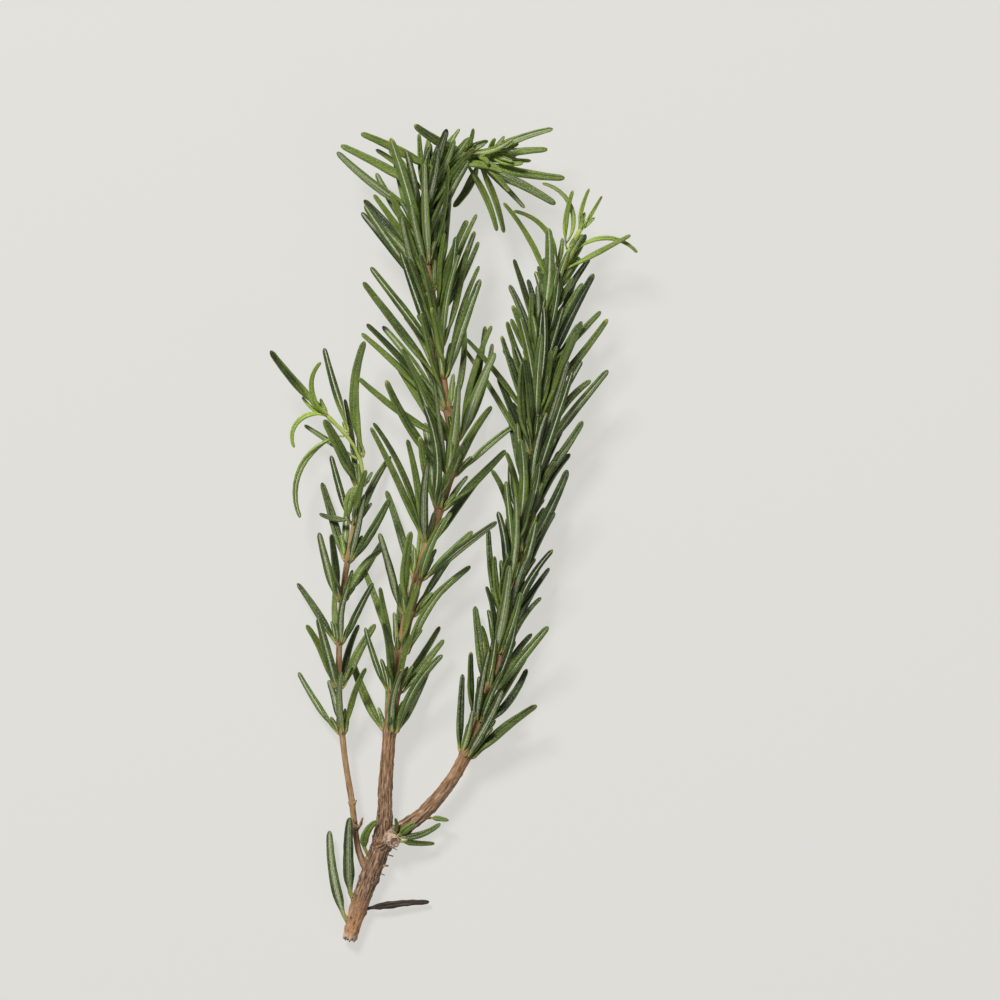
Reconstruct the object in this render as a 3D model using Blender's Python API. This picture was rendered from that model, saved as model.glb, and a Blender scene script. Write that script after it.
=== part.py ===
"""A cut rosemary sprig, lying on a flat surface.

A forked woody stem carries whorls of narrow leaves: opposite pairs, with tufts of smaller
leaves in their axils.  Each whorl is one solid, whose leaf bases meet in a ring round the stem.
Sizes in this file are millimetres and the objects are in metres, +Z up.  The sprig points along
+Y and lies on z = 0, with the origin at the bottom centre of its box.
"""

import math
import random
from typing import NamedTuple

import bmesh
import bpy
from mathutils import Quaternion, Vector
from mathutils.bvhtree import BVHTree

METRES = 0.001
SEED = 2
CENTRE = Vector((0.0, -0.39, 0.0))  # the middle of the sprig's box, in the coordinates used below

# Gaps that keep neighbouring solids apart.
STEM_GAP = 0.3
LEAF_GAP = 0.12
FLOOR_GAP = 0.04

# The stems, from the cut end to the growing tips: (x, y, z) along each one's centre line.
MAIN_ROUTE = (
    (-21.4, -82.6, 2.0),
    (-19.4, -75.8, 2.3),
    (-16.6, -68.0, 2.7),
    (-14.5, -61.5, 3.2),
    (-13.9, -50.0, 4.2),
    (-12.6, -36.0, 5.8),
    (-9.6, -18.0, 7.4),
    (-5.2, -2.0, 8.4),
    (-0.4, 13.0, 8.9),
    (0.1, 18.4, 9.0),
    (-1.4, 25.2, 9.0),
    (-2.7, 34.4, 8.8),
    (-3.9, 44.8, 8.6),
    (-5.6, 54.8, 8.6),
    (-6.4, 63.4, 9.2),
    (-4.8, 70.6, 10.0),
    (-0.6, 75.2, 10.8),
    (6.2, 76.4, 11.2),
)
RIGHT_ROUTE = (
    (-15.0, -63.2, 3.0),
    (-12.6, -61.4, 3.4),
    (-9.4, -59.2, 3.8),
    (-5.2, -55.8, 4.3),
    (0.4, -48.6, 5.0),
    (5.6, -37.0, 6.1),
    (9.8, -21.0, 7.3),
    (13.2, -4.0, 8.2),
    (15.6, 12.0, 8.6),
    (17.4, 28.0, 8.6),
    (18.6, 42.0, 8.8),
    (20.2, 49.4, 9.3),
    (22.4, 55.4, 10.0),
    (25.0, 60.4, 10.6),
)
TWIG_ROUTE = (
    (-17.2, -69.2, 2.6),
    (-18.6, -66.9, 2.8),
    (-19.6, -64.0, 3.0),
    (-20.2, -59.6, 3.4),
    (-20.9, -54.0, 3.9),
    (-22.4, -44.0, 4.7),
    (-23.4, -30.0, 5.5),
    (-22.8, -14.0, 6.2),
    (-20.6, 0.0, 6.8),
    (-18.9, 9.6, 7.2),
    (-19.0, 15.0, 7.4),
    (-21.6, 19.6, 7.8),
    (-25.0, 23.2, 8.2),
)

KNOB_ROUTE = (
    (-13.2, -61.8, 3.0),
    (-12.15, -62.5, 6.5),
)

STEM_STEP = 3.0
STEM_SIDES = 8

# The ring that joins the leaf bases of one whorl, and the bud at a shoot's tip: the bud's outline
# is (place along the stem, radius).
RING_WALL = 0.55
RING_SIDES = 8
BUD_OUTLINE = ((-0.6, 0.34), (-0.15, 0.6), (0.5, 0.47), (1.1, 0.23))
BUD_LENGTH = 0.75
BUD_LEAF_REACH = 0.3  # how far from a bud's axis its leaves start

# A leaf's centre line is held at LINE_STEPS + 1 points; its solid has rings at LEAF_RINGS of them.
LINE_STEPS = 12
LEAF_RINGS = (0, 3, 8, 11)
RING_WIDTHS = (0.45, 0.95, 1.0, 0.66)
RING_THICKNESSES = (0.5, 1.0, 0.95, 0.7)
SECTION = ((1.0, 0.0), (0.0, 1.0), (-1.0, 0.0), (0.0, -1.0))
FULL_SECTION = ((1.0, 0.0), (0.55, 1.0), (-0.55, 1.0), (-1.0, 0.0), (-0.55, -1.0), (0.55, -1.0))
ASPECT = 0.52  # a leaf's thickness against its width
LEAF_WIDTH = 1.05  # a filling leaf's width, to which each millimetre of its length adds a share
LEAF_WIDENING = 0.055
WIDEST_LEAF = 2.25
FACE_TWIST = 0.85  # how far a leaf turns its face to the light by its middle

# How many placings a leaf tries before it is left out, and how far the last ones stray.
TRIES = 36
TIP_STRAY = 1.0
RISE_STRAY = 5.0
TURN_STRAY = 34.0
ANGLE_STRAY = 7.0
SHORTENING = 0.25

# How leaves vary in any case: lengths are millimetres, and angles are degrees.
TURN_SPREAD = 8.0
ANGLE_SPREAD = 4.0
PLACE_SPREAD = 6.0
TWIST_SPREAD = 24.0
BOW_SPREAD = 0.8
BENDS = (-8.0, 26.0)
BOWED_BENDS = 0.4  # how much of its bend a bowed leaf keeps
LENGTH_SHARES = (0.86, 1.08)
WIDTH_SHARES = (0.74, 1.06)
EDGE_SOFTNESS = 7.0
LOWEST_TIP = 0.8

# Leaves above the stem lie closer along it, by this many degrees, and show their undersides more.
RISING_PULL = 12.0
RISING_FROM = 0.45
UPPER_FACE_SHARES = (0.7, 0.35)

FIRST_TURN = 28.0  # how far the first pair is turned round its stem; each next pair turns by 90
GROWING_LENGTH = 16.0  # leaves are shorter along this much of a shoot's end

# An aimed leaf grows from a whorl that it would leave at about this angle, at about a whorl's full
# length: how far each may be off for the same cost, and the cost of each leaf already there.
AIM_ANGLE = 36.0
AIM_ANGLE_SLACK = 9.0
AIM_LENGTH_SLACK = 3.0
AIM_CROWDING = 1.5
AIM_CHOICES = 4

# The places in one half of a whorl, which its other half mirrors: a large leaf, and then smaller
# ones in its axil.  Each is its turn round the stem, its angle to the stem, and its share of the
# full length.
PLACES = (
    (0, 38, 1.0),
    (48, 31, 0.84),
    (-48, 30, 0.78),
    (92, 24, 0.68),
    (24, 22, 0.6),
    (-24, 20, 0.5),
)

# Each shoot: its route, the stem's radius at distances along it, where its whorls start, how many
# there are, how much closer they get towards the tip, how long the ring under a whorl is, whether
# the shoot ends in a bud, the leaves in a whorl at shares of the way to the tip, their length at
# both ends and at the tip, the length of the pale young end and how pale its tip is, how widely
# its leaves spread, and how far they reach: the least and greatest x, and the greatest y.
SHOOTS = {
    "main": {
        "route": MAIN_ROUTE,
        "radii": (
            (0.0, 1.4),
            (8.0, 1.75),
            (17.0, 2.0),
            (22.0, 1.95),
            (28.0, 1.45),
            (75.0, 1.05),
            (180.0, 0.6),
        ),
        "first": 44.0,
        "whorls": 23,
        "tightening": 1.45,
        "ring": 1.5,
        "bud": True,
        "leaves": ((0.0, 4.6), (1.0, 8.4)),
        "lengths": (18.0, 21.5),
        "tip_length": 7.5,
        "young": (9.0, 0.45),
        "spread": 0.92,
        "edges": (-23.6, 22.4, 82.0),
    },
    "right": {
        "route": RIGHT_ROUTE,
        "radii": ((0.0, 1.6), (14.0, 1.35), (60.0, 1.05), (142.0, 0.65)),
        "first": 26.0,
        "whorls": 19,
        "tightening": 1.25,
        "ring": 1.5,
        "bud": True,
        "leaves": ((0.0, 4.8), (0.66, 10.0), (0.78, 8.0), (0.86, 3.0), (1.0, 2.0)),
        "lengths": (17.5, 18.5),
        "tip_length": 7.0,
        "young": (16.0, 1.0),
        "spread": 0.74,
        "edges": (-14.0, 37.0, 57.0),
    },
    "twig": {
        "route": TWIG_ROUTE,
        "radii": ((0.0, 0.65), (98.0, 0.6)),
        "first": 30.0,
        "whorls": 10,
        "tightening": 1.3,
        "ring": 1.5,
        "bud": True,
        "leaves": ((0.0, 3.6), (0.5, 4.4), (0.7, 3.0), (1.0, 1.0)),
        "lengths": (15.0, 17.0),
        "tip_length": 7.0,
        "young": (13.0, 1.0),
        "spread": 0.9,
        "edges": (-37.0, -8.0, 39.2),
    },
    "knob": {
        "route": KNOB_ROUTE,
        "radii": ((0.0, 1.5), (3.7, 1.35)),
        "first": 3.15,
        "whorls": 1,
        "tightening": 1.0,
        "ring": 0.9,
        "bud": False,
        "leaves": ((0.0, 4.0), (1.0, 4.0)),
        "lengths": (7.0, 7.0),
        "tip_length": 7.0,
        "young": (1.0, 0.0),
        "spread": 1.0,
        "edges": (-20.0, 0.0, -50.0),
    },
}


class Aim(NamedTuple):
    """A leaf that is aimed: its tip's x and y, how far the tip stands above the stem, its width,
    the whorl it grows from, counted back from the shoot's tip, how far it bows to the left of its
    heading, and whether its upper face is turned up."""

    x: float
    y: float
    rise: float
    width: float
    back: int | None = None
    bow: float = 0.0
    face_up: bool | None = None


# The aimed leaves, which shape each shoot's outline.
AIMS = {
    "main": (
        Aim(-7.9, 82.2, 6.0, back=2, bow=0.6, width=2.1, face_up=True),
        Aim(-1.2, 81.4, 6.5, back=4, width=1.9, face_up=False),
        Aim(1.2, 81.6, 2.0, back=3, width=1.1),
        Aim(3.9, 81.8, 1.0, back=2, width=1.1),
        Aim(8.3, 79.6, 3.0, back=0, width=1.15),
        Aim(20.0, 81.6, 2.0, back=0, bow=0.8, width=1.6),
        Aim(18.9, 77.5, 1.0, back=0, width=1.8),
        Aim(15.6, 75.5, -3.0, back=1, width=1.2),
        Aim(22.4, 71.8, 0.0, back=1, width=2.1),
        Aim(20.6, 66.3, 3.5, back=2, bow=0.8, width=2.2, face_up=True),
        Aim(14.3, 65.8, -1.0, back=1, width=1.3),
        Aim(11.3, 68.4, 7.0, back=1, width=1.5),
        Aim(9.9, 60.4, 0.0, back=1, bow=0.4, width=1.5),
        Aim(8.7, 61.2, -1.5, back=2, bow=0.6, width=1.5),
        Aim(9.8, 72.6, 7.0, back=3, width=1.6),
        Aim(6.8, 74.2, 6.0, back=1, width=1.2),
        Aim(4.4, 78.4, 5.0, back=2, width=0.95),
        Aim(0.1, 65.8, -2.5, back=1, bow=0.5, width=1.9),
        Aim(3.0, 75.0, 7.5, width=2.1, face_up=False),
        Aim(-1.2, 74.3, 5.5, width=1.1),
        Aim(-6.4, 75.2, 4.5, width=1.7),
        Aim(-7.1, 80.9, 0.5, width=1.3),
        Aim(-4.9, 79.7, -0.5, width=1.3),
        Aim(-18.9, 80.3, 3.0, back=4, bow=-0.4, width=2.0, face_up=True),
        Aim(-22.9, 78.5, 0.0, back=5, width=2.0, face_up=True),
        Aim(-23.6, 77.0, 3.0, back=6, width=1.9, face_up=False),
        Aim(-15.8, 77.6, 1.0, back=5, width=1.4),
        Aim(-12.3, 78.2, -1.5, width=1.7),
        Aim(-18.7, 64.9, 2.0, width=1.8),
        Aim(-18.4, 66.4, 4.0, width=1.9),
        Aim(-10.5, 63.7, 6.0, width=1.6),
        Aim(-10.7, 56.8, 3.0, width=1.6),
        Aim(-9.0, 55.6, 5.0, width=1.4),
        Aim(-6.8, 56.2, 8.0, width=1.7, face_up=True),
        Aim(-0.8, 70.0, 4.5, width=2.2, face_up=True),
        Aim(4.6, 64.6, 1.0, width=1.3),
        Aim(2.7, 62.9, 3.0, width=1.7),
        Aim(5.0, 59.1, 0.0, width=1.4),
        Aim(0.4, 59.7, 7.5, width=1.9, face_up=False),
        Aim(-1.8, 60.9, 3.0, width=1.2),
        Aim(2.7, 57.7, 4.5, width=1.4),
        Aim(5.1, 54.1, 1.5, width=1.3),
        Aim(0.9, 56.0, 5.0, width=1.3),
        Aim(-16.8, 53.8, 3.0, width=1.9),
        Aim(-18.4, 50.9, 0.5, width=1.9),
        Aim(-4.5, 45.4, 8.0, width=2.1, face_up=True),
        Aim(-6.6, 44.4, 6.5, width=1.6, face_up=True),
        Aim(-17.6, 42.3, 3.5, width=1.6),
        Aim(-18.7, 40.5, 1.0, width=1.6),
        Aim(-14.5, 42.0, -1.0, width=1.8),
        Aim(-11.0, 40.9, -2.0, bow=-1.2, width=1.4),
        Aim(1.9, 43.4, -2.0, bow=-0.8, width=1.4),
        Aim(6.3, 42.0, -1.0, width=1.5),
        Aim(7.6, 42.0, 2.0, width=1.5),
        Aim(-10.4, 37.2, 7.0, width=1.5, face_up=True),
        Aim(-9.3, 35.2, 4.5, width=1.8, face_up=False),
        Aim(-10.7, 34.3, 2.0, width=2.0),
        Aim(-3.9, 30.2, 8.0, width=1.1, face_up=False),
        Aim(-5.9, 25.8, 7.5, width=1.9, face_up=False),
        Aim(7.8, 38.4, 1.5, width=1.5),
        Aim(8.3, 36.4, 6.0, width=2.1, face_up=False),
        Aim(-19.3, 31.5, 1.0, width=1.6),
        Aim(-13.7, 31.0, 3.5, width=2.0),
        Aim(-16.3, 22.4, 2.5, width=1.4),
        Aim(-16.9, 21.5, -1.0, width=1.5),
        Aim(-9.4, 19.0, 4.0, width=1.6),
        Aim(-6.8, 19.5, 6.0, width=1.6),
    ),
    "right": (
        Aim(27.3, 69.6, 2.0, back=0, width=0.95),
        Aim(29.9, 68.2, 0.5, back=0, width=0.95),
        Aim(24.0, 69.2, 3.0, back=1, width=1.2),
        Aim(17.8, 70.6, 2.0, back=1, bow=-3.4, width=1.05),
        Aim(37.0, 56.7, 1.5, back=1, bow=2.4, width=1.05),
        Aim(35.6, 60.2, 3.5, back=2, width=1.3),
        Aim(26.5, 60.4, -1.0, back=2, width=1.6),
        Aim(12.0, 65.1, 2.0, back=2, bow=-2.6, width=1.15),
        Aim(10.0, 66.9, 0.5, back=3, bow=-0.8, width=1.25),
        Aim(19.0, 61.5, 6.5, back=4, width=2.3, face_up=False),
        Aim(28.2, 52.4, 5.0, width=2.0, face_up=False),
        Aim(12.1, 55.5, 1.0, width=1.4),
        Aim(15.7, 48.7, 2.0, width=1.5),
        Aim(11.8, 46.1, 3.0, width=1.6),
        Aim(10.7, 42.9, 1.0, width=1.5),
        Aim(9.6, 40.1, -1.0, width=1.5),
        Aim(13.4, 43.4, 6.0, width=1.7, face_up=False),
        Aim(18.0, 46.0, 4.0, width=1.6),
        Aim(17.6, 40.1, 8.5, width=1.9, face_up=False),
        Aim(19.6, 37.0, 6.0, width=1.7),
        Aim(12.3, 37.7, 5.0, width=1.7),
        Aim(22.9, 34.8, 7.5, width=2.0, face_up=False),
        Aim(14.2, 35.6, 7.5, width=1.6),
        Aim(24.2, 40.5, 5.5, width=1.8),
        Aim(25.8, 42.9, 2.5, width=1.8),
        Aim(29.7, 45.0, 0.5, width=1.6),
        Aim(31.1, 43.4, 2.5, width=1.7),
        Aim(31.1, 33.0, 4.0, width=2.0, face_up=False),
        Aim(23.8, 32.5, 8.0, width=1.7),
        Aim(8.9, 31.6, 1.0, width=1.7),
        Aim(27.6, 31.0, 2.5, width=1.8),
        Aim(2.3, 39.7, 2.5, width=1.3),
        Aim(1.2, 37.6, 0.5, width=1.3),
    ),
    "twig": (
        Aim(-37.0, 36.9, 4.5, back=0, width=1.95),
        Aim(-27.4, 34.5, 4.0, back=0, bow=2.6, width=1.2),
        Aim(-30.8, 27.7, -1.0, back=0, width=0.9),
        Aim(-32.3, 17.4, 0.5, back=0, bow=-2.7, width=1.1),
        Aim(-30.4, 22.0, -1.5, back=2, width=1.35),
        Aim(-31.1, 3.2, 1.0, back=1, bow=-3.6, width=1.4),
        Aim(-26.2, 23.0, 5.0, back=3, width=2.5, face_up=True),
        Aim(-26.3, 37.6, 0.5, back=1, width=1.75),
        Aim(-18.0, 38.9, 3.5, back=2, bow=1.6, width=2.2, face_up=True),
        Aim(-21.9, 27.0, -1.0, back=3, width=1.3),
        Aim(-21.5, 3.4, 1.5, back=3, width=2.2),
        Aim(-27.4, 4.0, -2.0, back=4, width=1.3),
    ),
    "knob": (
        Aim(-2.8, -58.9, -1.4, back=0, bow=-0.7, width=1.4, face_up=True),
        Aim(-4.0, -63.1, -3.2, back=0, width=1.2, face_up=True),
        Aim(-7.9, -58.7, 0.9, back=0, width=1.6, face_up=True),
        Aim(-12.0, -57.7, 0.6, back=0, width=0.9, face_up=True),
    ),
}


class LoneLeaf(NamedTuple):
    """A leaf on bare wood: where it leaves the stem, its tip, its width, how far it bows to the
    left of its heading, and whether its upper face is turned up."""

    start: tuple
    tip: tuple
    width: float
    bow: float
    face_up: bool


LONE_LEAVES = {
    "base_leaf_lower": LoneLeaf((-22.5, -77.6, 2.9), (-25.4, -60.5, 2.6), 2.05, 0.7, False),
    "base_leaf_upper": LoneLeaf((-21.2, -72.9, 3.3), (-21.2, -57.6, 6.4), 2.3, 0.3, False),
    "dried_leaf": LoneLeaf((-17.3, -76.3, 2.0), (-5.1, -75.1, 1.3), 1.45, 0.3, True),
    "curled_leaf": LoneLeaf((-18.2, -64.0, 4.1), (-15.6, -58.3, 5.7), 1.7, 1.0, True),
    "far_leaf": LoneLeaf((-4.5, -57.8, 4.3), (-1.1, -58.3, 4.8), 1.1, 0.1, True),
}
LONE_BEND = math.radians(12)

COLOURS = {
    "bark": (0.25, 0.13, 0.065),
    "leaf": (0.045, 0.09, 0.018),
    "young_leaf": (0.16, 0.26, 0.03),
    "dried_leaf": (0.03, 0.022, 0.016),
}
ROUGHNESSES = {"bark": 0.8, "leaf": 0.45, "young_leaf": 0.45, "dried_leaf": 0.8}
YOUNG_FROM = 0.5  # a whorl this young has the young leaves' colour
WELD_DISTANCE = 1e-6


def clear_scene():
    for scene_object in list(bpy.data.objects):
        bpy.data.objects.remove(scene_object, do_unlink=True)


def mixed(first, last, share):
    return first + (last - first) * share


def material(name):
    finish = bpy.data.materials.new(name)
    finish.use_nodes = True
    shader = finish.node_tree.nodes["Principled BSDF"]
    shader.inputs["Base Color"].default_value = (*COLOURS[name], 1.0)
    shader.inputs["Roughness"].default_value = ROUGHNESSES[name]
    shader.inputs["Metallic"].default_value = 0.0
    return finish


class Route:
    """A smooth curve through a stem's points, read by distance from its cut end."""

    SAMPLES = 10

    def __init__(self, points):
        corners = [Vector(point) for point in points]
        padded = [2 * corners[0] - corners[1], *corners, 2 * corners[-1] - corners[-2]]
        self.points = []
        for before, start, end, after in zip(padded, padded[1:], padded[2:], padded[3:]):
            for sample in range(self.SAMPLES):
                share = sample / self.SAMPLES
                self.points.append(
                    0.5
                    * (
                        2 * start
                        + (end - before) * share
                        + (2 * before - 5 * start + 4 * end - after) * share**2
                        + (3 * start - before - 3 * end + after) * share**3
                    )
                )
        self.points.append(corners[-1])
        self.distances = [0.0]
        for start, end in zip(self.points, self.points[1:]):
            self.distances.append(self.distances[-1] + (end - start).length)
        self.length = self.distances[-1]

    def at(self, distance):
        """The point and the unit direction at a distance from the cut end."""
        distance = min(max(distance, 0.0), self.length)
        index = next(i for i, reached in enumerate(self.distances[1:]) if reached >= distance)
        start, end = self.points[index], self.points[index + 1]
        share = (distance - self.distances[index]) / (end - start).length
        return start.lerp(end, share), (end - start).normalized()


def read_along(pairs, place):
    """The value at a place, between (place, value) pairs in order."""
    for (near, first), (far, last) in zip(pairs, pairs[1:]):
        if place <= far:
            return mixed(first, last, (place - near) / (far - near))
    return pairs[-1][1]


def stem_radius(shoot, distance):
    return read_along(shoot["radii"], distance)


def whorl_distances(shoot):
    """Where the whorls sit along a stem; they crowd together towards its tip."""
    last = shoot["curve"].length
    steps = max(shoot["whorls"] - 1, 1)
    return [
        mixed(shoot["first"], last, 1.0 - (1.0 - i / steps) ** shoot["tightening"])
        for i in range(shoot["whorls"])
    ]


# Leaves: a leaf is a dictionary with its centre line, the normals of its upper face, and its size.


def leaf_line(start, chord, curl, floor):
    """An arc over a chord, laid along the surface wherever it would pass below it.  The arc turns
    about the curl vector, by as many radians in all as the vector is long."""
    half = 0.5 * curl.length
    arc = chord.length * (half / math.sin(half) if half > 1e-4 else 1.0)
    step = arc / LINE_STEPS
    heading = chord.normalized()
    line = [start.copy()]
    for i in range(LINE_STEPS):
        turn = Quaternion(curl, curl.length * ((i + 0.5) / LINE_STEPS - 0.5))
        move = (turn @ heading) * step
        point = line[-1] + move
        if point.z < floor:
            drop = max(floor - line[-1].z, -step)
            flat = Vector((move.x, move.y, 0.0))
            flat.length = math.sqrt(max(step**2 - drop**2, 0.0))
            point = line[-1] + flat + Vector((0.0, 0.0, drop))
        line.append(point)
    return line


def bow_turn(bow, chord):
    """How far an arc turns, in radians, whose middle stands off its chord by the bow."""
    return 8 * bow / chord.length


def leaf_normals(line, stem_direction, outward, top_up, twist):
    """The upper face starts towards the stem, and turns up or down along the leaf."""
    normals = []
    for i, point in enumerate(line):
        before = line[max(i - 1, 0)]
        after = line[min(i + 1, LINE_STEPS)]
        along = (after - before).normalized()
        inward = stem_direction * along.dot(outward) - outward * along.dot(stem_direction)
        inward = (inward - along * inward.dot(along)).normalized()
        skyward = Vector((0.0, 0.0, 1.0 if top_up else -1.0))
        skyward = skyward - along * skyward.dot(along)
        side = along.cross(inward)
        turn = math.atan2(skyward.dot(side), skyward.dot(inward))
        share = min(i / (0.5 * LINE_STEPS), 1.0)
        turn = turn * FACE_TWIST * share * share * (3 - 2 * share) + twist * i / LINE_STEPS
        normals.append(inward * math.cos(turn) + side * math.sin(turn))
    return normals


def leaf_rings(leaf, section, grow, first):
    """The outline rings of a leaf's solid, and its tip."""
    rings = []
    for ring, (index, wide, thick) in enumerate(zip(LEAF_RINGS, RING_WIDTHS, RING_THICKNESSES)):
        if ring < first:
            continue
        centre = leaf["line"][index]
        along = (leaf["line"][index + 1] - leaf["line"][max(index - 1, 0)]).normalized()
        normal = leaf["normals"][index]
        normal = (normal - along * normal.dot(along)).normalized()
        side = along.cross(normal)
        half_width = 0.5 * leaf["width"] * wide + grow
        half_thickness = 0.5 * leaf["width"] * ASPECT * thick + grow
        rings.append(
            [centre + side * (u * half_width) + normal * (v * half_thickness) for u, v in section]
        )
    end = leaf["line"][LINE_STEPS]
    return rings, end + (end - leaf["line"][LINE_STEPS - 1]).normalized() * grow


def leaf_shape(leaf, section=SECTION, grow=0.0, first=0):
    """A leaf's points and faces: a loft through its rings, closed by a base and a tip."""
    rings, tip = leaf_rings(leaf, section, grow, first)
    count = len(section)
    points = [point for ring in rings for point in ring] + [tip]
    faces = [tuple(reversed(range(count)))]
    for ring in range(len(rings) - 1):
        for i in range(count):
            near, far = ring * count + i, ring * count + (i + 1) % count
            faces.append((near, far, far + count, near + count))
    last = (len(rings) - 1) * count
    for i in range(count):
        faces.append((last + i, last + (i + 1) % count, len(points) - 1))
    return points, faces


class Crowd:
    """The solids placed so far, which each new leaf stays clear of."""

    def __init__(self):
        self.placed = []

    def add(self, owner, points, faces):
        low, high = box_of(points)
        self.placed.append((owner, BVHTree.FromPolygons(points, faces), low, high))

    def blocks(self, owner, leaf):
        """Whether a leaf comes too near another owner's solid, or crosses one of its own."""
        for first, own in ((0, False), (1, True)):
            points, faces = leaf_shape(leaf, FULL_SECTION, LEAF_GAP, first)
            tree = BVHTree.FromPolygons(points, faces)
            low, high = box_of(points)
            for other, other_tree, other_low, other_high in self.placed:
                if (other == owner) != own:
                    continue
                if any(high[i] < other_low[i] or low[i] > other_high[i] for i in range(3)):
                    continue
                if tree.overlap(other_tree):
                    return True
        return False


def box_of(points):
    return (
        tuple(min(point[i] for point in points) for i in range(3)),
        tuple(max(point[i] for point in points) for i in range(3)),
    )


def leaf_width(length):
    return min(LEAF_WIDTH + LEAF_WIDENING * length, WIDEST_LEAF)


def made_leaf(whorl, tip, bend, bow, width, top_up, twist):
    """A leaf from a whorl's ring to a tip.  It bends away from the stem, and bows to its left."""
    centre, direction = whorl["centre"], whorl["direction"]
    reach = tip - centre
    outward = (reach - direction * reach.dot(direction)).normalized()
    start = centre + outward * whorl["ring_middle"]
    chord = tip - start
    curl = direction.cross(outward).normalized() * bend
    curl.z -= bow_turn(bow, chord)
    line = leaf_line(start, chord, curl, 0.5 * width * ASPECT + FLOOR_GAP)
    normals = leaf_normals(line, direction, outward, top_up, twist)
    return {"line": line, "normals": normals, "width": width, "youth": whorl["youth"]}


def lies_clear_of_floor(leaf):
    points, _ = leaf_shape(leaf, FULL_SECTION)
    return min(point.z for point in points) >= 0.5 * FLOOR_GAP


def lies_within_edges(leaf, edges, short):
    """Whether a tip stays inside its shoot's outline, drawn in by a distance."""
    tip = leaf["line"][LINE_STEPS]
    return edges[0] + short <= tip.x <= edges[1] - short and tip.y <= edges[2] - short


def aimed_leaf(whorl, aim, attempt, chance):
    """A leaf whose tip is given; later attempts move the tip a little."""
    stray = attempt / TRIES
    tip = Vector(
        (
            aim.x + chance.uniform(-stray, stray) * TIP_STRAY,
            aim.y + chance.uniform(-stray, stray) * TIP_STRAY,
            whorl["centre"].z + aim.rise + chance.uniform(-stray, stray) * RISE_STRAY,
        )
    )
    tip.z = max(tip.z, LOWEST_TIP)
    top_up = aim.face_up
    if top_up is None:
        top_up = chance.random() < UPPER_FACE_SHARES[0]
    return made_leaf(
        whorl,
        tip,
        math.radians(chance.uniform(*BENDS)) * (BOWED_BENDS if aim.bow else 1.0),
        aim.bow or chance.uniform(-BOW_SPREAD, BOW_SPREAD),
        aim.width,
        top_up,
        math.radians(chance.uniform(-TWIST_SPREAD, TWIST_SPREAD)),
    )


def filling_leaf(whorl, slot, attempt, chance):
    """A leaf in one of a whorl's places; later attempts stray further from it."""
    stray = attempt / TRIES
    turn = slot["turn"] + chance.uniform(-1, 1) * (TURN_SPREAD + TURN_STRAY * stray)
    turn = math.radians(turn)
    angle = slot["angle"] + chance.uniform(-1, 1) * (ANGLE_SPREAD + ANGLE_STRAY * stray)
    angle = math.radians(angle - RISING_PULL * max(0.0, math.sin(turn)))
    length = slot["length"] * (1.0 - SHORTENING * stray) * chance.uniform(*LENGTH_SHARES)
    direction = whorl["direction"]
    side = direction.cross(Vector((0.0, 0.0, 1.0))).normalized()
    above = side.cross(direction)
    outward = side * math.cos(turn) + above * math.sin(turn)
    heading = direction * math.cos(angle) + outward * math.sin(angle)
    tip = whorl["centre"] + outward * whorl["ring_middle"] + heading * length
    return made_leaf(
        whorl,
        tip,
        math.radians(chance.uniform(*BENDS)),
        chance.uniform(-BOW_SPREAD, BOW_SPREAD),
        leaf_width(length) * chance.uniform(*WIDTH_SHARES),
        chance.random() < UPPER_FACE_SHARES[math.sin(turn) > RISING_FROM],
        math.radians(chance.uniform(-TWIST_SPREAD, TWIST_SPREAD)),
    )


def whorl_slots(whorl, chance):
    """The places in a whorl, those of its two halves in turn."""
    slots = []
    for turn, angle, length in PLACES:
        for half_turn in (0, 180):
            slots.append(
                {
                    "turn": whorl["turn"] + half_turn + turn,
                    "angle": whorl["spread"] * (angle + chance.uniform(-1, 1) * PLACE_SPREAD),
                    "length": whorl["length"] * length,
                }
            )
    return slots


def whorls_of(name, shoot):
    distances = whorl_distances(shoot)
    whorls = []
    for i, distance in enumerate(distances):
        centre, direction = shoot["curve"].at(distance)
        share = i / max(len(distances) - 1, 1)
        left = shoot["curve"].length - distance
        inner = stem_radius(shoot, distance) + STEM_GAP
        is_bud = shoot["bud"] and i == len(distances) - 1
        if is_bud:
            centre = centre + direction * (STEM_GAP + BUD_LENGTH)
        grown = min(1.0, (left + 1.0) / GROWING_LENGTH)
        full_length = mixed(*shoot["lengths"], share)
        pale_length, palest = shoot["young"]
        whorls.append(
            {
                "name": f"leaves_{name}_{i + 1:02d}",
                "centre": centre,
                "direction": direction,
                "is_bud": is_bud,
                "inner": inner,
                "ring": shoot["ring"],
                "ring_middle": BUD_LEAF_REACH if is_bud else inner + 0.5 * RING_WALL,
                "turn": FIRST_TURN + 90.0 * i,
                "spread": shoot["spread"],
                "wanted": round(read_along(shoot["leaves"], share)),
                "length": mixed(shoot["tip_length"], full_length, grown),
                "youth": palest * max(0.0, 1.0 - left / pale_length),
                "leaves": [],
            }
        )
    return whorls


def likely_whorls(aim, whorls):
    """The whorls that an aimed leaf may grow from, the most natural first."""
    if aim.back is not None:
        return [whorls[-1 - aim.back]]

    def cost(whorl):
        reach = Vector((aim.x, aim.y, whorl["centre"].z + aim.rise)) - whorl["centre"]
        angle = math.degrees(reach.angle(whorl["direction"]))
        return (
            ((angle - AIM_ANGLE * whorl["spread"]) / AIM_ANGLE_SLACK) ** 2
            + ((reach.length - whorl["length"]) / AIM_LENGTH_SLACK) ** 2
            + AIM_CROWDING * max(0, len(whorl["leaves"]) - 2)
        )

    return sorted(whorls, key=cost)[:AIM_CHOICES]


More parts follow.
